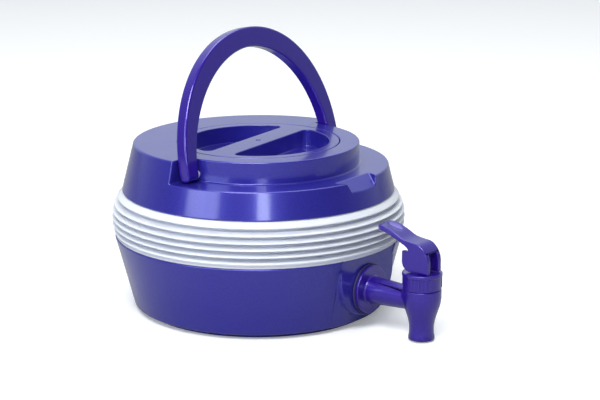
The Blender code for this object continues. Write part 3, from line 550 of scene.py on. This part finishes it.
def spring_steel(finish):
    """Drawn wire of the valve spring."""
    made, tree, shader, where = start_material("spring steel", Metallic=1.0, Roughness=0.25)
    surface = use_group(tree, moulded_surface(), (-1000, -200), where,
                        wave_scale=400.0, peel_scale=6000.0, peel_share=0.6)
    dull = [0.8 * c for c in finish.steel]
    tree.links.new(tinted(tree, surface.outputs["Patch"], dull, finish.steel, (-500, 200)),
                   shader.inputs["Base Color"])
    tree.links.new(shade_range(tree, surface.outputs["Height"], 0.18, 0.32, (-500, -50)),
                   shader.inputs["Roughness"])
    return made


def material(name, build, *values):
    """The named material, made on its first use."""
    return bpy.data.materials.get(name) or build(*values)


def pearl_of(finish):
    return material("pearl blue plastic", body_plastic, finish)


def handle_gloss(finish):
    return material("handle gloss", pearl_plastic, "handle gloss", finish.gloss, 0.34, 0.30,
                    0.25, 0.08)


def tap_gloss(finish):
    return material("tap gloss", pearl_plastic, "tap gloss", finish.gloss, 0.30, 0.34, 0.15,
                    0.08)


# ---------------------------------------------------------------- bowl and bellows
def seat_outline(body, top, margin=0.0):
    """U shape of the tap's seat."""
    half = body.seat_half + margin
    bottom = body.seat_bottom - margin
    return [(half, top), (-half, top)] + arc((0.0, bottom + half), half, 180, 360, 40)


def make_bowl(body):
    """Tapered bowl with its flat foot, lipped rim and the flat seat of the tap."""
    slope = (body.rim_radius - body.base_radius) / (RIM_Z - body.foot_height)

    def radius(height, inset=0.0):
        return body.base_radius + slope * (height - body.foot_height) - inset

    foot, low = body.foot_height, BOWL_LOW.z
    bowl = turned("bowl_shell", rounded([
        (0.0, RIM_Z), (body.rim_radius, RIM_Z, 0.0007), (body.base_radius, foot, 0.0022),
        (body.foot_radius, foot, 0.0005), (body.foot_radius, low, 0.0005), (0.0, low)]))
    front = Vector((0.0, -body.seat_face, 0.0))
    pad = slab("pad", seat_outline(body, RIM_Z - 0.008), -0.010, 0.010, facing_tap(front))
    combine(bowl, pad, "UNION")
    side = body.seat_half + 0.00004
    combine(bowl, block("seat", (-side, -body.seat_face - 0.02, -0.01),
                        (side, -body.seat_face, RIM_Z + 0.01)))
    lip = RIM_Z - 0.0036
    lip_radius = body.rim_radius - 0.0105
    floor = foot + body.wall
    step = body.foot_radius - body.wall
    cavity = turned("cavity", rounded([
        (0.0, RIM_Z + 0.01), (lip_radius, RIM_Z + 0.01), (lip_radius, lip),
        (radius(lip, body.wall + 0.0006) - 0.002, lip - 0.002),
        (radius(floor, body.wall), floor, 0.004), (step, floor), (step, low + body.wall),
        (0.0, low + body.wall)]))
    guard = slab("guard", seat_outline(body, RIM_Z + 0.006, body.wall), -0.02, 0.02,
                 facing_tap(front + Vector((0.0, body.wall - 0.02, 0.0))))
    combine(bowl, combine(cavity, guard))
    pocket = slab("pocket", seat_outline(body, RIM_Z - 0.010, -body.wall), -0.012, 0.012,
                  facing_tap(front + Vector((0.0, body.wall + 0.012, 0.0))))
    combine(bowl, pocket)
    return bowl


class DISPENSER_OT_bowl(bpy.types.Operator):
    """Bowl with its flat foot, rim and tap seat"""
    bl_idname = "dispenser.bowl"
    bl_label = "Bowl"

    def execute(self, context):
        scene = context.scene
        bowl = make_bowl(scene.dispenser_body)
        height = scene.dispenser_tap.pipe_height
        bore, inside, outside = 0.0095, 0.08, 0.11
        hole = cylinder("hole", bore, inside, outside, FINE_STEPS, facing_tap((0, 0, height)))
        combine(bowl, hole)
        soften(bowl, 0.0009)
        complete(bowl, pearl_of(scene.dispenser_finish), "base", "shell_blue", "bowl")
        return {"FINISHED"}


class DISPENSER_OT_bellows(bpy.types.Operator):
    """Milky folded sleeve between the bowl and the top shell"""
    bl_idname = "dispenser.bellows"
    bl_label = "Bellows"

    def execute(self, context):
        body = context.scene.dispenser_body
        top, bottom = SHELL_RIM_Z - SLIT, RIM_Z + SLIT
        flange, wall = 0.0012, 0.0012
        proud = (-0.0025, 0.0001, 0.0015, 0.0017, 0.0014, 0.0005)
        pitch = (top - bottom - 2 * flange) / len(proud)
        outer = [(body.shell_rim - 0.0006, top, 0.0004)]
        for i, more in enumerate(proud):
            ridge = body.rim_radius + more
            height = top - flange - pitch * (i + 0.5)
            outer += [(ridge, height + 0.00025, 0.0008), (ridge, height - 0.00055, 0.0010)]
            if i < len(proud) - 1:
                valley = ridge / 2 + (body.rim_radius + proud[i + 1]) / 2 - body.fold_depth
                outer.append((valley, height - pitch * 0.52, 0.0006))
        outer.append((body.rim_radius - 0.0009, bottom + flange, 0.0004))
        outer.append((body.rim_radius - 0.0009, bottom))
        inner = [(r - wall * 1.6, z) for r, z, *_ in reversed(outer[1:-1])]
        lip = body.rim_radius - 0.0100
        shell_lip = body.shell_rim - 0.0100
        inner[0] = (lip, bottom + flange)
        path = [(shell_lip, top)] + outer + [(lip, bottom)] + inner + [(shell_lip, top - flange)]
        sleeve = turned("bellows_sleeve", rounded(path))
        sleeve.data.shade_smooth()
        sleeve.data.set_sharp_from_angle(angle=math.radians(60))
        finish = context.scene.dispenser_finish
        complete(sleeve, milky_plastic(finish), None, "milky_sleeve", "bellows")
        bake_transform(sleeve)
        return {"FINISHED"}


# ---------------------------------------------------------------- top shell
def notch_wall(lid):
    """Where the wall that the raised handle leans on stands, along Y."""
    pivot = Vector(joint("handle_fold")["pos_m"])
    rise = TOP_Z - pivot.z
    half = lid.handle_depth / 2 / math.cos(lid.handle_lean)
    return pivot.y + rise * math.tan(lid.handle_lean) + half + SLIT


def notch_block(body, wall_y, margin=0.0):
    """Space above the ledge, in front of the notch's walls and outside the disc."""
    far = body.shell_rim + 0.02
    ledge = TOP_Z - body.ledge_drop - margin
    inner = body.disc_radius - margin
    above = TOP_Z + 0.01
    ring = turned("notch", [(inner, above), (far, above), (far, ledge), (inner, ledge)],
                  offset=SHELL_TURN)
    behind = block("behind", (-0.2, wall_y + margin, 0.0), (0.2, 0.2, 0.2))
    return combine(ring, behind)


def scoop_block(body, margin=0.0):
    """Wedge that dishes the ledge's outer edge under the folded handle."""
    top_half, low_half, run = 0.021 + margin, 0.0085 + margin, 0.020
    over, corner, half_depth = 0.002 + margin, 0.004, 0.01
    outline = rounded([(-top_half, over), (-low_half, -run, corner), (low_half, -run, corner),
                       (top_half, over)])
    place = Matrix.Translation((0.0, -body.scoop_top, TOP_Z - body.ledge_drop))
    place = place @ Matrix.Rotation(body.scoop_angle, 4, "X")
    place = place @ Matrix.Translation((0, 0, half_depth - margin))
    return slab("scoop", outline, -half_depth, half_depth, place)


class DISPENSER_OT_top_shell(bpy.types.Operator):
    """Conical top shell with the handle's notch, the thumb scoop and the neck"""
    bl_idname = "dispenser.top_shell"
    bl_label = "Top Shell"

    def execute(self, context):
        scene = context.scene
        body, lid = scene.dispenser_body, scene.dispenser_lid
        wall = body.wall
        wall_y = notch_wall(lid)
        slope = (body.shell_top - body.shell_rim) / (TOP_Z - SHELL_RIM_Z)
        shell = turned("shell_cone", rounded([
            (0.0, TOP_Z), (body.shell_top, TOP_Z, 0.0016), (body.shell_rim, SHELL_RIM_Z, 0.0007),
            (0.0, SHELL_RIM_Z)]), offset=SHELL_TURN)
        combine(shell, notch_block(body, wall_y))
        combine(shell, scoop_block(body))
        lip = SHELL_RIM_Z + 0.0036
        over_lip = lip + 0.002
        lip_radius = body.shell_rim - 0.0105
        cavity = turned("cavity", [
            (0.0, TOP_Z - wall), (body.shell_top - wall, TOP_Z - wall),
            (body.shell_rim + slope * (over_lip - SHELL_RIM_Z) - wall, over_lip), (lip_radius, lip),
            (lip_radius, SHELL_RIM_Z - 0.01), (0.0, SHELL_RIM_Z - 0.01)], offset=SHELL_TURN)
        combine(cavity, notch_block(body, wall_y, wall))
        combine(cavity, scoop_block(body, wall))
        neck = LID_LOW.z - 0.0048
        seat_z = TOP_Z - 0.0029 - 0.0011 - 2 * SLIT
        seat = lid.lid_radius + SLIT
        neck_radius = lid.skirt_radius + 0.0010
        tube = turned("neck_tube", [
            (neck_radius - 0.001, TOP_Z + 0.001), (seat + wall, TOP_Z + 0.001),
            (seat + wall, seat_z - wall),
            (neck_radius + wall, seat_z - wall - 0.001), (neck_radius + wall, neck),
            (neck_radius - 0.001, neck)], offset=SHELL_TURN)
        combine(cavity, tube)
        combine(shell, cavity)
        mouth = turned("mouth", [
            (0.0, TOP_Z + 0.01), (seat, TOP_Z + 0.01), (seat, seat_z), (neck_radius, seat_z),
            (neck_radius, SHELL_RIM_Z - 0.01), (0.0, SHELL_RIM_Z - 0.01)], offset=SHELL_TURN)
        combine(shell, mouth)
        soften(shell, 0.0009)
        complete(shell, pearl_of(scene.dispenser_finish), "top", "shell_blue", "top_shell")
        return {"FINISHED"}


# ---------------------------------------------------------------- lid and handle
def recess_outline(lid, side):
    """One D-shaped finger recess with rounded corners, beside the grip."""
    corner = 0.0045
    reach = lid.recess_radius - corner
    corner_y = lid.grip_width / 2 + corner
    corner_x = math.sqrt(reach ** 2 - corner_y ** 2)
    tilt = math.degrees(math.atan2(corner_y, corner_x))
    points = arc((corner_x, corner_y), corner, -90, tilt, 10)
    points += arc((0, 0), lid.recess_radius, tilt, 180 - tilt, 60)[1:]
    points += arc((-corner_x, corner_y), corner, 180 - tilt, 270, 10)[1:]
    return [(side * x, side * y) for x, y in points]


class DISPENSER_OT_lid(bpy.types.Operator):
    """Flush screw lid with a grip bar between two finger recesses"""
    bl_idname = "dispenser.lid"
    bl_label = "Screw Lid"

    def execute(self, context):
        scene = context.scene
        sizes, wall = scene.dispenser_lid, scene.dispenser_body.wall
        flange_z = TOP_Z - 0.0029
        lid = turned("lid_cap", rounded([
            (0.0, TOP_Z), (sizes.lid_radius, TOP_Z, 0.0005), (sizes.lid_radius, flange_z, 0.0003),
            (sizes.skirt_radius, flange_z), (sizes.skirt_radius, LID_LOW.z, 0.0005),
            (0.0, LID_LOW.z)]))
        turn = Matrix.Rotation(sizes.grip_angle, 4, "Z")
        for side in (1, -1):
            place = Matrix.Translation((0, 0, TOP_Z)) @ turn
            combine(lid, slab("recess", recess_outline(sizes, side), -sizes.recess_depth,
                              sizes.recess_depth, place))
        half = sizes.grip_width / 2 - wall
        core = block("core", (-0.036, -half, LID_LOW.z - 0.01), (0.036, half, TOP_Z - wall))
        core.data.transform(turn)
        combine(lid, core)
        gate = cylinder("gate", 0.0016, TOP_Z - 0.0007, TOP_Z + 0.01, 32)
        combine(lid, gate)
        soften(lid, 0.0006)
        complete(lid, pearl_of(scene.dispenser_finish), "lid", "shell_blue", "screw_lid")
        return {"FINISHED"}


def arch(wide, top, power, steps=48):
    """Half of an arch as a superellipse, from its foot to its crown."""
    angles = [math.pi / 2 * i / steps for i in range(steps + 1)]
    return [Vector((wide * max(0.0, math.cos(a)) ** (2 / power), top * math.sin(a) ** (2 / power)))
            for a in angles]


def handle_bow(sizes, fillet):
    """Arch in the handle's own plane with rounded edges: x across, y up from the pivots."""
    top = sizes.handle_reach
    outer = arch(sizes.handle_outer, top, power=2.06)
    inner = arch(sizes.handle_inner, top - sizes.handle_bar, power=1.92)
    stations = list(zip(outer, inner))
    mirror = Vector((-1.0, 1.0))
    stations += [(a * mirror, b * mirror) for a, b in reversed(stations[:-1])]
    half = sizes.handle_depth / 2
    work = bmesh.new()
    rings = []
    for out, back in stations:
        width = (back - out).length
        along = (back - out) / width
        corners = ((width - fillet, half - fillet, 0), (fillet, half - fillet, 90),
                   (fillet, fillet - half, 180), (width - fillet, fillet - half, 270))
        section = [point for x, y, turn in corners
                   for point in arc((x, y), fillet, turn, turn + 90, 6)]
        spots = [out + along * u for u, v in section]
        rings.append([work.verts.new((spot.x, spot.y, v)) for spot, (u, v) in zip(spots, section)])
    for ring, ahead in zip(rings, rings[1:]):
        for k, corner in enumerate(ring):
            work.faces.new((corner, ring[k - 1], ahead[k - 1], ahead[k]))
    work.faces.new(rings[0])
    work.faces.new(rings[-1])
    return as_object("handle_bow", work)


class DISPENSER_OT_handle(bpy.types.Operator):
    """Arched carry handle with round feet at its pivots"""
    bl_idname = "dispenser.handle"
    bl_label = "Carry Handle"

    def execute(self, context):
        scene = context.scene
        sizes = scene.dispenser_lid
        half = sizes.handle_depth / 2
        fillet, gap = 0.0016, 0.00003
        handle = handle_bow(sizes, fillet)
        for side in (-1, 1):
            low, high = sorted((side * (sizes.handle_inner + gap), side * (sizes.handle_outer - gap)))
            ends = rounded([(0.0, high), (half - gap, high, fillet), (half - gap, low, fillet),
                            (0.0, low)])
            foot = turned("foot", ends, 64, Matrix.Rotation(math.radians(90), 4, "Y"))
            combine(handle, foot, "UNION")
        for side in (-1, 1):
            low, high = sorted((side * (sizes.handle_inner - 0.01), side * (sizes.handle_outer - 0.003)))
            bore = cylinder("bore", 0.0033, low, high, 48, Matrix.Rotation(math.radians(90), 4, "Y"))
            combine(handle, bore)
        lean = Matrix.Rotation(math.radians(90) - sizes.handle_lean, 4, "X")
        pivot = Vector(joint("handle_fold")["pos_m"])
        handle.data.transform(Matrix.Translation(pivot) @ lean)
        smooth(handle)
        complete(handle, handle_gloss(scene.dispenser_finish), "handle", "handle_blue", "handle")
        return {"FINISHED"}


# ---------------------------------------------------------------- tap
class DISPENSER_OT_tap(bpy.types.Operator):
    """Tap's barrel and spout with its pipe, flange and shank"""
    bl_idname = "dispenser.tap"
    bl_label = "Tap"

    def execute(self, context):
        scene = context.scene
        tap, body = scene.dispenser_tap, scene.dispenser_body
        place = Matrix.Translation(TAP_AXIS)
        shoulder = BONNET_LOW.z - SLIT
        neck = BONNET_HIGH.x - 0.0004 - 0.0019 - SLIT
        wide = tap.barrel_radius
        side = smooth_path([(wide, 0.0300), (0.0124, 0.0250), (0.0106, 0.0195), (0.0092, 0.0148),
                            (0.0085, 0.0110), (0.00835, 0.0075), (0.0086, 0.0045), (0.0089, 0.0028)], 4)
        outline = [(0.0, TAP_HIGH.z), (neck, TAP_HIGH.z), (neck, shoulder), (wide, shoulder)]
        outline += side + [(0.0089, TAP_LOW.z + 0.0004), (0.0085, TAP_LOW.z), (0.0, TAP_LOW.z)]
        barrel = turned("tap_barrel", outline, FINE_STEPS, place)
        back = body.seat_face + 0.0012 + 2 * SLIT
        face = back + 0.0020
        shank = body.seat_face - 0.0125
        reach = -TAP_AXIS.y
        pipe = turned("pipe", rounded([
            (0.0, reach), (tap.pipe_end, reach), (tap.pipe_end, reach - wide + 0.001, 0.002),
            (tap.pipe_root, face, 0.0014), (tap.flange_radius, face, 0.0007),
            (tap.flange_radius, back, 0.0002), (0.0092, back), (0.0092, shank), (0.0, shank)]),
            FINE_STEPS, facing_tap((0, 0, tap.pipe_height)))
        combine(barrel, pipe, "UNION")
        chamber = turned("chamber", [
            (0.0, BONNET_HIGH.z), (0.0098, BONNET_HIGH.z), (0.0098, 0.0220), (0.0068, 0.0165),
            (0.0062, 0.0145), (0.0062, -0.01), (0.0, -0.01)], FINE_STEPS, place)
        combine(barrel, chamber)
        waterway = cylinder("waterway", 0.0058, 0.05, reach, 48, facing_tap((0, 0, tap.pipe_height)))
        combine(barrel, waterway)
        soften(barrel, 0.0006)
        complete(barrel, tap_gloss(scene.dispenser_finish), "base", "tap_blue", "tap_body")
        return {"FINISHED"}


class DISPENSER_OT_bonnet(bpy.types.Operator):
    """Ribbed cap that screws onto the barrel"""
    bl_idname = "dispenser.bonnet"
    bl_label = "Bonnet"

    def execute(self, context):
        place = Matrix.Translation(TAP_AXIS)
        low, top = BONNET_LOW.z, BONNET_HIGH.z
        wide = BONNET_HIGH.x - 0.0002
        inner = wide - 0.0021
        wall = wide - 0.0006
        bonnet = turned("bonnet_cap", rounded([
            (0.0031, top), (wide, top, 0.0006), (wide, top - 0.0022, 0.0005), (wall, top - 0.0028, 0.0003),
            (wall, low, 0.0003), (inner, low), (inner, top - 0.0025), (0.0031, top - 0.0025)]),
            FINE_STEPS, place)
        for i in range(36):
            if i % 12 > 6:
                continue
            turn = Matrix.Rotation(math.radians(10 * i - 62), 4, "Z")
            rib = cylinder("rib", 0.0005, low + 0.0012, top - 0.0026, 12,
                           Matrix.Translation(TAP_AXIS) @ turn @ Matrix.Translation((wall - 0.0001, 0, 0)))
            combine(bonnet, rib, "UNION")
        soften(bonnet, 0.0002, 40, 2)
        finish = context.scene.dispenser_finish
        complete(bonnet, tap_gloss(finish), "base", "tap_blue", "tap_bonnet")
        return {"FINISHED"}


def lever_side():
    """Side view of the lever: x away from the body, y above the bonnet."""
    tip, high = 0.0347, 0.0293
    top = [(-tip, high - 0.0030), (-tip + 0.0006, high - 0.0010), (-tip + 0.004, high), (-0.0245, 0.0283),
           (-0.0175, 0.0256), (-0.0105, 0.0222), (-0.0040, 0.0210), (0.0020, 0.0202), (0.0064, 0.0168),
           (0.0090, 0.0125), (0.0098, 0.0085)]
    path = smooth_path(top, 5) + [(0.0098, SLIT)]
    path += arc((-0.0046, 0.0070 + SLIT), 0.0070, 270, 180, 14)
    path += [(-0.0116, 0.0145), (-0.0062, 0.0145)]
    path += smooth_path([(-0.0062, 0.0146), (-0.0085, 0.0172), (-0.0125, 0.0192), (-0.0200, 0.0226),
                         (-0.0280, 0.0252), (-tip + 0.0010, high - 0.0042)], 5)
    return path


class DISPENSER_OT_lever(bpy.types.Operator):
    """Push lever with a dished paddle over two cam cheeks"""
    bl_idname = "dispenser.lever"
    bl_label = "Push Lever"

    def execute(self, context):
        scene = context.scene
        tap = scene.dispenser_tap
        half = tap.lever_width / 2
        base = TAP_AXIS + UP * BONNET_HIGH.z
        lever = slab("lever_arm", lever_side(), -half, half, upright(base))
        slot = half - tap.cheek
        combine(lever, block("slot", (-slot, TAP_AXIS.y - 0.02, BONNET_HIGH.z - 0.01),
                             (slot, TAP_AXIS.y + 0.02, BONNET_HIGH.z + 0.0150)))
        nose = half + 0.0004
        tip = TAP_AXIS.y + 0.0347
        front = TAP_AXIS.y - 0.03
        plan = [(-nose, front), (nose, front)] + arc((0, tip - nose), nose, 0, 180, 36)
        combine(lever, slab("plan", plan, 0.03, 0.09), "INTERSECT")
        work = bmesh.new()
        bmesh.ops.create_uvsphere(work, u_segments=48, v_segments=32, radius=1.0)
        bmesh.ops.scale(work, vec=(0.0067, 0.0128, 0.0050), verts=work.verts)
        slant = Matrix.Rotation(math.radians(13), 3, "X")
        bmesh.ops.rotate(work, cent=(0, 0, 0), matrix=slant, verts=work.verts)
        dish = as_object("dish", work, Matrix.Translation((0, tip - 0.0146, BONNET_HIGH.z + 0.0308)))
        combine(lever, dish)
        soften(lever, 0.0008, 32)
        complete(lever, tap_gloss(scene.dispenser_finish), "lever", "tap_blue", "tap_lever")
        return {"FINISHED"}


class DISPENSER_OT_spring(bpy.types.Operator):
    """Valve spring inside the barrel"""
    bl_idname = "dispenser.spring"
    bl_label = "Valve Spring"

    def execute(self, context):
        wire = 0.0005
        radius = (SPRING_HIGH.x - SPRING_LOW.x) / 2 - wire
        turns, per_turn = 5, 36
        low, high = SPRING_LOW.z + wire, SPRING_HIGH.z - wire
        work = bmesh.new()
        bmesh.ops.create_circle(work, segments=10, radius=wire, matrix=Matrix.Translation((radius, 0, low))
                                @ Matrix.Rotation(math.radians(90), 4, "X"))
        rim = list(work.edges)
        bmesh.ops.spin(work, geom=list(work.verts) + rim, cent=(0, 0, 0), axis=UP,
                       dvec=UP * ((high - low) / turns / per_turn), angle=2 * math.pi * turns,
                       steps=turns * per_turn)
        bmesh.ops.holes_fill(work, edges=[e for e in work.edges if e.is_boundary], sides=0)
        spring = as_object("spring_coil", work, Matrix.Translation(TAP_AXIS))
        spring.data.shade_smooth()
        complete(spring, spring_steel(context.scene.dispenser_finish), None, "spring_steel", "valve_spring")
        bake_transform(spring)
        return {"FINISHED"}


class DISPENSER_OT_fittings(bpy.types.Operator):
    """Finishes of the washers, nut, rings, pins, gasket and valve"""
    bl_idname = "dispenser.fittings"
    bl_label = "Small Fittings"

    def execute(self, context):
        finish = context.scene.dispenser_finish
        pale = soft_rubber("pale rubber", finish.rubber)
        blue = soft_rubber("blue rubber", (0.05, 0.04, 0.16))
        white = soft_rubber("white fittings plastic", (0.72, 0.72, 0.70))
        gloss = tap_gloss(finish)
        finishes = {
            "lid_gasket": pale, "tap_washer_inner": pale, "valve_seal": pale, "tap_washer_outer": blue,
            "lower_clamp_ring": white, "upper_clamp_ring": white, "tap_nut": white, "lever_pin": gloss,
            "handle_pin_near": white, "handle_pin_far": white, "valve_stem": gloss}
        for name, chosen in finishes.items():
            mesh = frame["nodes"][name].data
            mesh.materials.clear()
            mesh.materials.append(chosen)
        return {"FINISHED"}


# ---------------------------------------------------------------- stage
def area_light(name, power, width, height, spot, target, tint=(1.0, 1.0, 1.0)):
    """Rectangular light that faces a point."""
    data = bpy.data.lights.new(name, "AREA")
    data.shape = "RECTANGLE"
    data.size = width
    data.size_y = height
    data.energy = power
    data.color = tint
    made = bpy.data.objects.new(name, data)
    made.location = spot
    made.rotation_euler = (Vector(target) - Vector(spot)).to_track_quat("-Z", "Y").to_euler()
    bpy.context.scene.collection.objects.link(made)
    return made


def around(azimuth, elevation, distance, centre):
    """Point seen from the centre at an azimuth and elevation in degrees."""
    a, e = math.radians(azimuth), math.radians(elevation)
    way = Vector((math.sin(a) * math.cos(e), -math.cos(a) * math.cos(e), math.sin(e)))
    return centre + way * distance


def paper_seen(tree, shader):
    """Let the floor look bright to the camera and give only a weak light back to the dispenser."""
    path = node(tree, "ShaderNodeLightPath", (-100, 400))
    dim = node(tree, "ShaderNodeBsdfDiffuse", (100, -200))
    dim.inputs["Color"].default_value = (0.42, 0.42, 0.43, 1.0)
    glow = node(tree, "ShaderNodeEmission", (100, -350), strength=0.22)
    bright = node(tree, "ShaderNodeAddShader", (350, 100))
    seen = node(tree, "ShaderNodeMixShader", (550, 0))
    tree.links.new(shader.outputs["BSDF"], bright.inputs[0])
    tree.links.new(glow.outputs["Emission"], bright.inputs[1])
    tree.links.new(path.outputs["Is Camera Ray"], seen.inputs["Fac"])
    tree.links.new(dim.outputs["BSDF"], seen.inputs[1])
    tree.links.new(bright.outputs["Shader"], seen.inputs[2])
    tree.links.new(seen.outputs["Shader"], tree.nodes["Material Output"].inputs["Surface"])


class DISPENSER_OT_stage(bpy.types.Operator):
    """Pale floor, soft lights, sky and camera"""
    bl_idname = "dispenser.stage"
    bl_label = "Stage"

    def execute(self, context):
        scene = context.scene
        work = bmesh.new()
        bmesh.ops.create_grid(work, x_segments=1, y_segments=1, size=6.0)
        floor = as_object("floor", work)
        paper, tree, shader, where = start_material("pale paper", Roughness=0.9)
        grain = node(tree, "ShaderNodeTexNoise", (-700, 0), scale=60.0)
        tree.links.new(where, grain.inputs["Vector"])
        dull, bright = (0.90, 0.90, 0.90), (0.93, 0.93, 0.93)
        tree.links.new(tinted(tree, grain.outputs["Fac"], dull, bright, (-400, 100)),
                       shader.inputs["Base Color"])
        paper_seen(tree, shader)
        floor.data.materials.append(paper)

        centre = Vector((0.0, -0.02, 0.09))
        view = -51.0
        cool = (0.84, 0.93, 1.0)
        area_light("near softbox", 7.0, 0.36, 0.60, around(view + 3.5, 17, 2.1, centre), centre, cool)
        area_light("left softbox", 10.0, 0.9, 0.8, around(view - 48, 20, 1.8, centre), centre, cool)
        area_light("front softbox", 30.0, 1.0, 0.8, around(view - 14, 50, 1.9, centre), centre)
        area_light("top softbox", 16.0, 1.4, 1.4, around(view + 170, 72, 1.9, centre), centre)

        world = bpy.data.worlds.new("studio")
        scene.world = world
        world.use_nodes = True
        sky = world.node_tree
        background = sky.nodes["Background"]
        toward = node(sky, "ShaderNodeTexCoord", (-900, 0))
        facing = node(sky, "ShaderNodeVectorMath", (-700, 0), operation="DOT_PRODUCT")
        facing.inputs[1].default_value = around(view, 0, 1.0, Vector())
        spread = node(sky, "ShaderNodeMapRange", (-450, 0))
        spread.inputs["From Min"].default_value = -0.75
        spread.inputs["From Max"].default_value = 0.25
        spread.inputs["To Min"].default_value = 0.70
        spread.inputs["To Max"].default_value = 0.11
        sky.links.new(toward.outputs["Generated"], facing.inputs[0])
        sky.links.new(facing.outputs["Value"], spread.inputs["Value"])
        path = node(sky, "ShaderNodeLightPath", (-450, 300))
        seen = node(sky, "ShaderNodeMix", (-200, 100), data_type="FLOAT")
        sky.links.new(path.outputs["Is Camera Ray"], seen.inputs["Factor"])
        sky.links.new(spread.outputs["Result"], seen.inputs["A"])
        seen.inputs["B"].default_value = 1.0
        tone = node(sky, "ShaderNodeMix", (-200, 350), data_type="RGBA")
        sky.links.new(path.outputs["Is Camera Ray"], tone.inputs["Factor"])
        tone.inputs["A"].default_value = (0.84, 0.92, 1.0, 1.0)
        tone.inputs["B"].default_value = (1.0, 1.0, 1.0, 1.0)
        sky.links.new(seen.outputs["Result"], background.inputs["Strength"])
        sky.links.new(tone.outputs["Result"], background.inputs["Color"])

        lens = bpy.data.cameras.new("camera")
        lens.lens = 122.1
        lens.sensor_width = 36.0
        camera = bpy.data.objects.new("camera", lens)
        camera.location = (-1.0833, -0.8773, 0.4260)
        camera.rotation_euler = (math.radians(90 - 14.12), 0.0, math.radians(37.8 - 90))
        scene.collection.objects.link(camera)
        scene.camera = camera
        scene.view_settings.view_transform = "Standard"
        return {"FINISHED"}


# ---------------------------------------------------------------- add-on
class DISPENSER_PT_panel(bpy.types.Panel):
    """Lists the dispenser's pieces and their sizes"""
    bl_idname = "DISPENSER_PT_panel"
    bl_label = "Folding Water Dispenser"
    bl_space_type = "VIEW_3D"
    bl_region_type = "UI"
    bl_category = "Dispenser"

    def draw(self, context):
        scene = context.scene
        for kind in PIECES:
            self.layout.operator(kind.bl_idname)
        for name, group in SETTINGS.items():
            column = self.layout.column()
            for prop in group.__annotations__:
                column.prop(getattr(scene, name), prop)


PIECES = (
    DISPENSER_OT_bowl, DISPENSER_OT_bellows, DISPENSER_OT_top_shell, DISPENSER_OT_lid, DISPENSER_OT_handle,
    DISPENSER_OT_tap, DISPENSER_OT_bonnet, DISPENSER_OT_lever, DISPENSER_OT_spring, DISPENSER_OT_fittings,
    DISPENSER_OT_stage)
SETTINGS = {
    "dispenser_body": DispenserBody, "dispenser_lid": DispenserLid, "dispenser_tap": DispenserTap,
    "dispenser_finish": DispenserFinish}
CLASSES = (*SETTINGS.values(), *PIECES, DISPENSER_PT_panel)


def register():
    for kind in CLASSES:
        bpy.utils.register_class(kind)
    for name, group in SETTINGS.items():
        setattr(bpy.types.Scene, name, bpy.props.PointerProperty(type=group))


def unregister():
    for name in SETTINGS:
        delattr(bpy.types.Scene, name)
    for kind in reversed(CLASSES):
        bpy.utils.unregister_class(kind)


def main():
    """Build every piece and the stage."""
    register()
    for kind in PIECES:
        area, name = kind.bl_idname.split(".")
        getattr(getattr(bpy.ops, area), name)()


if __name__ == "__main__":
    main()
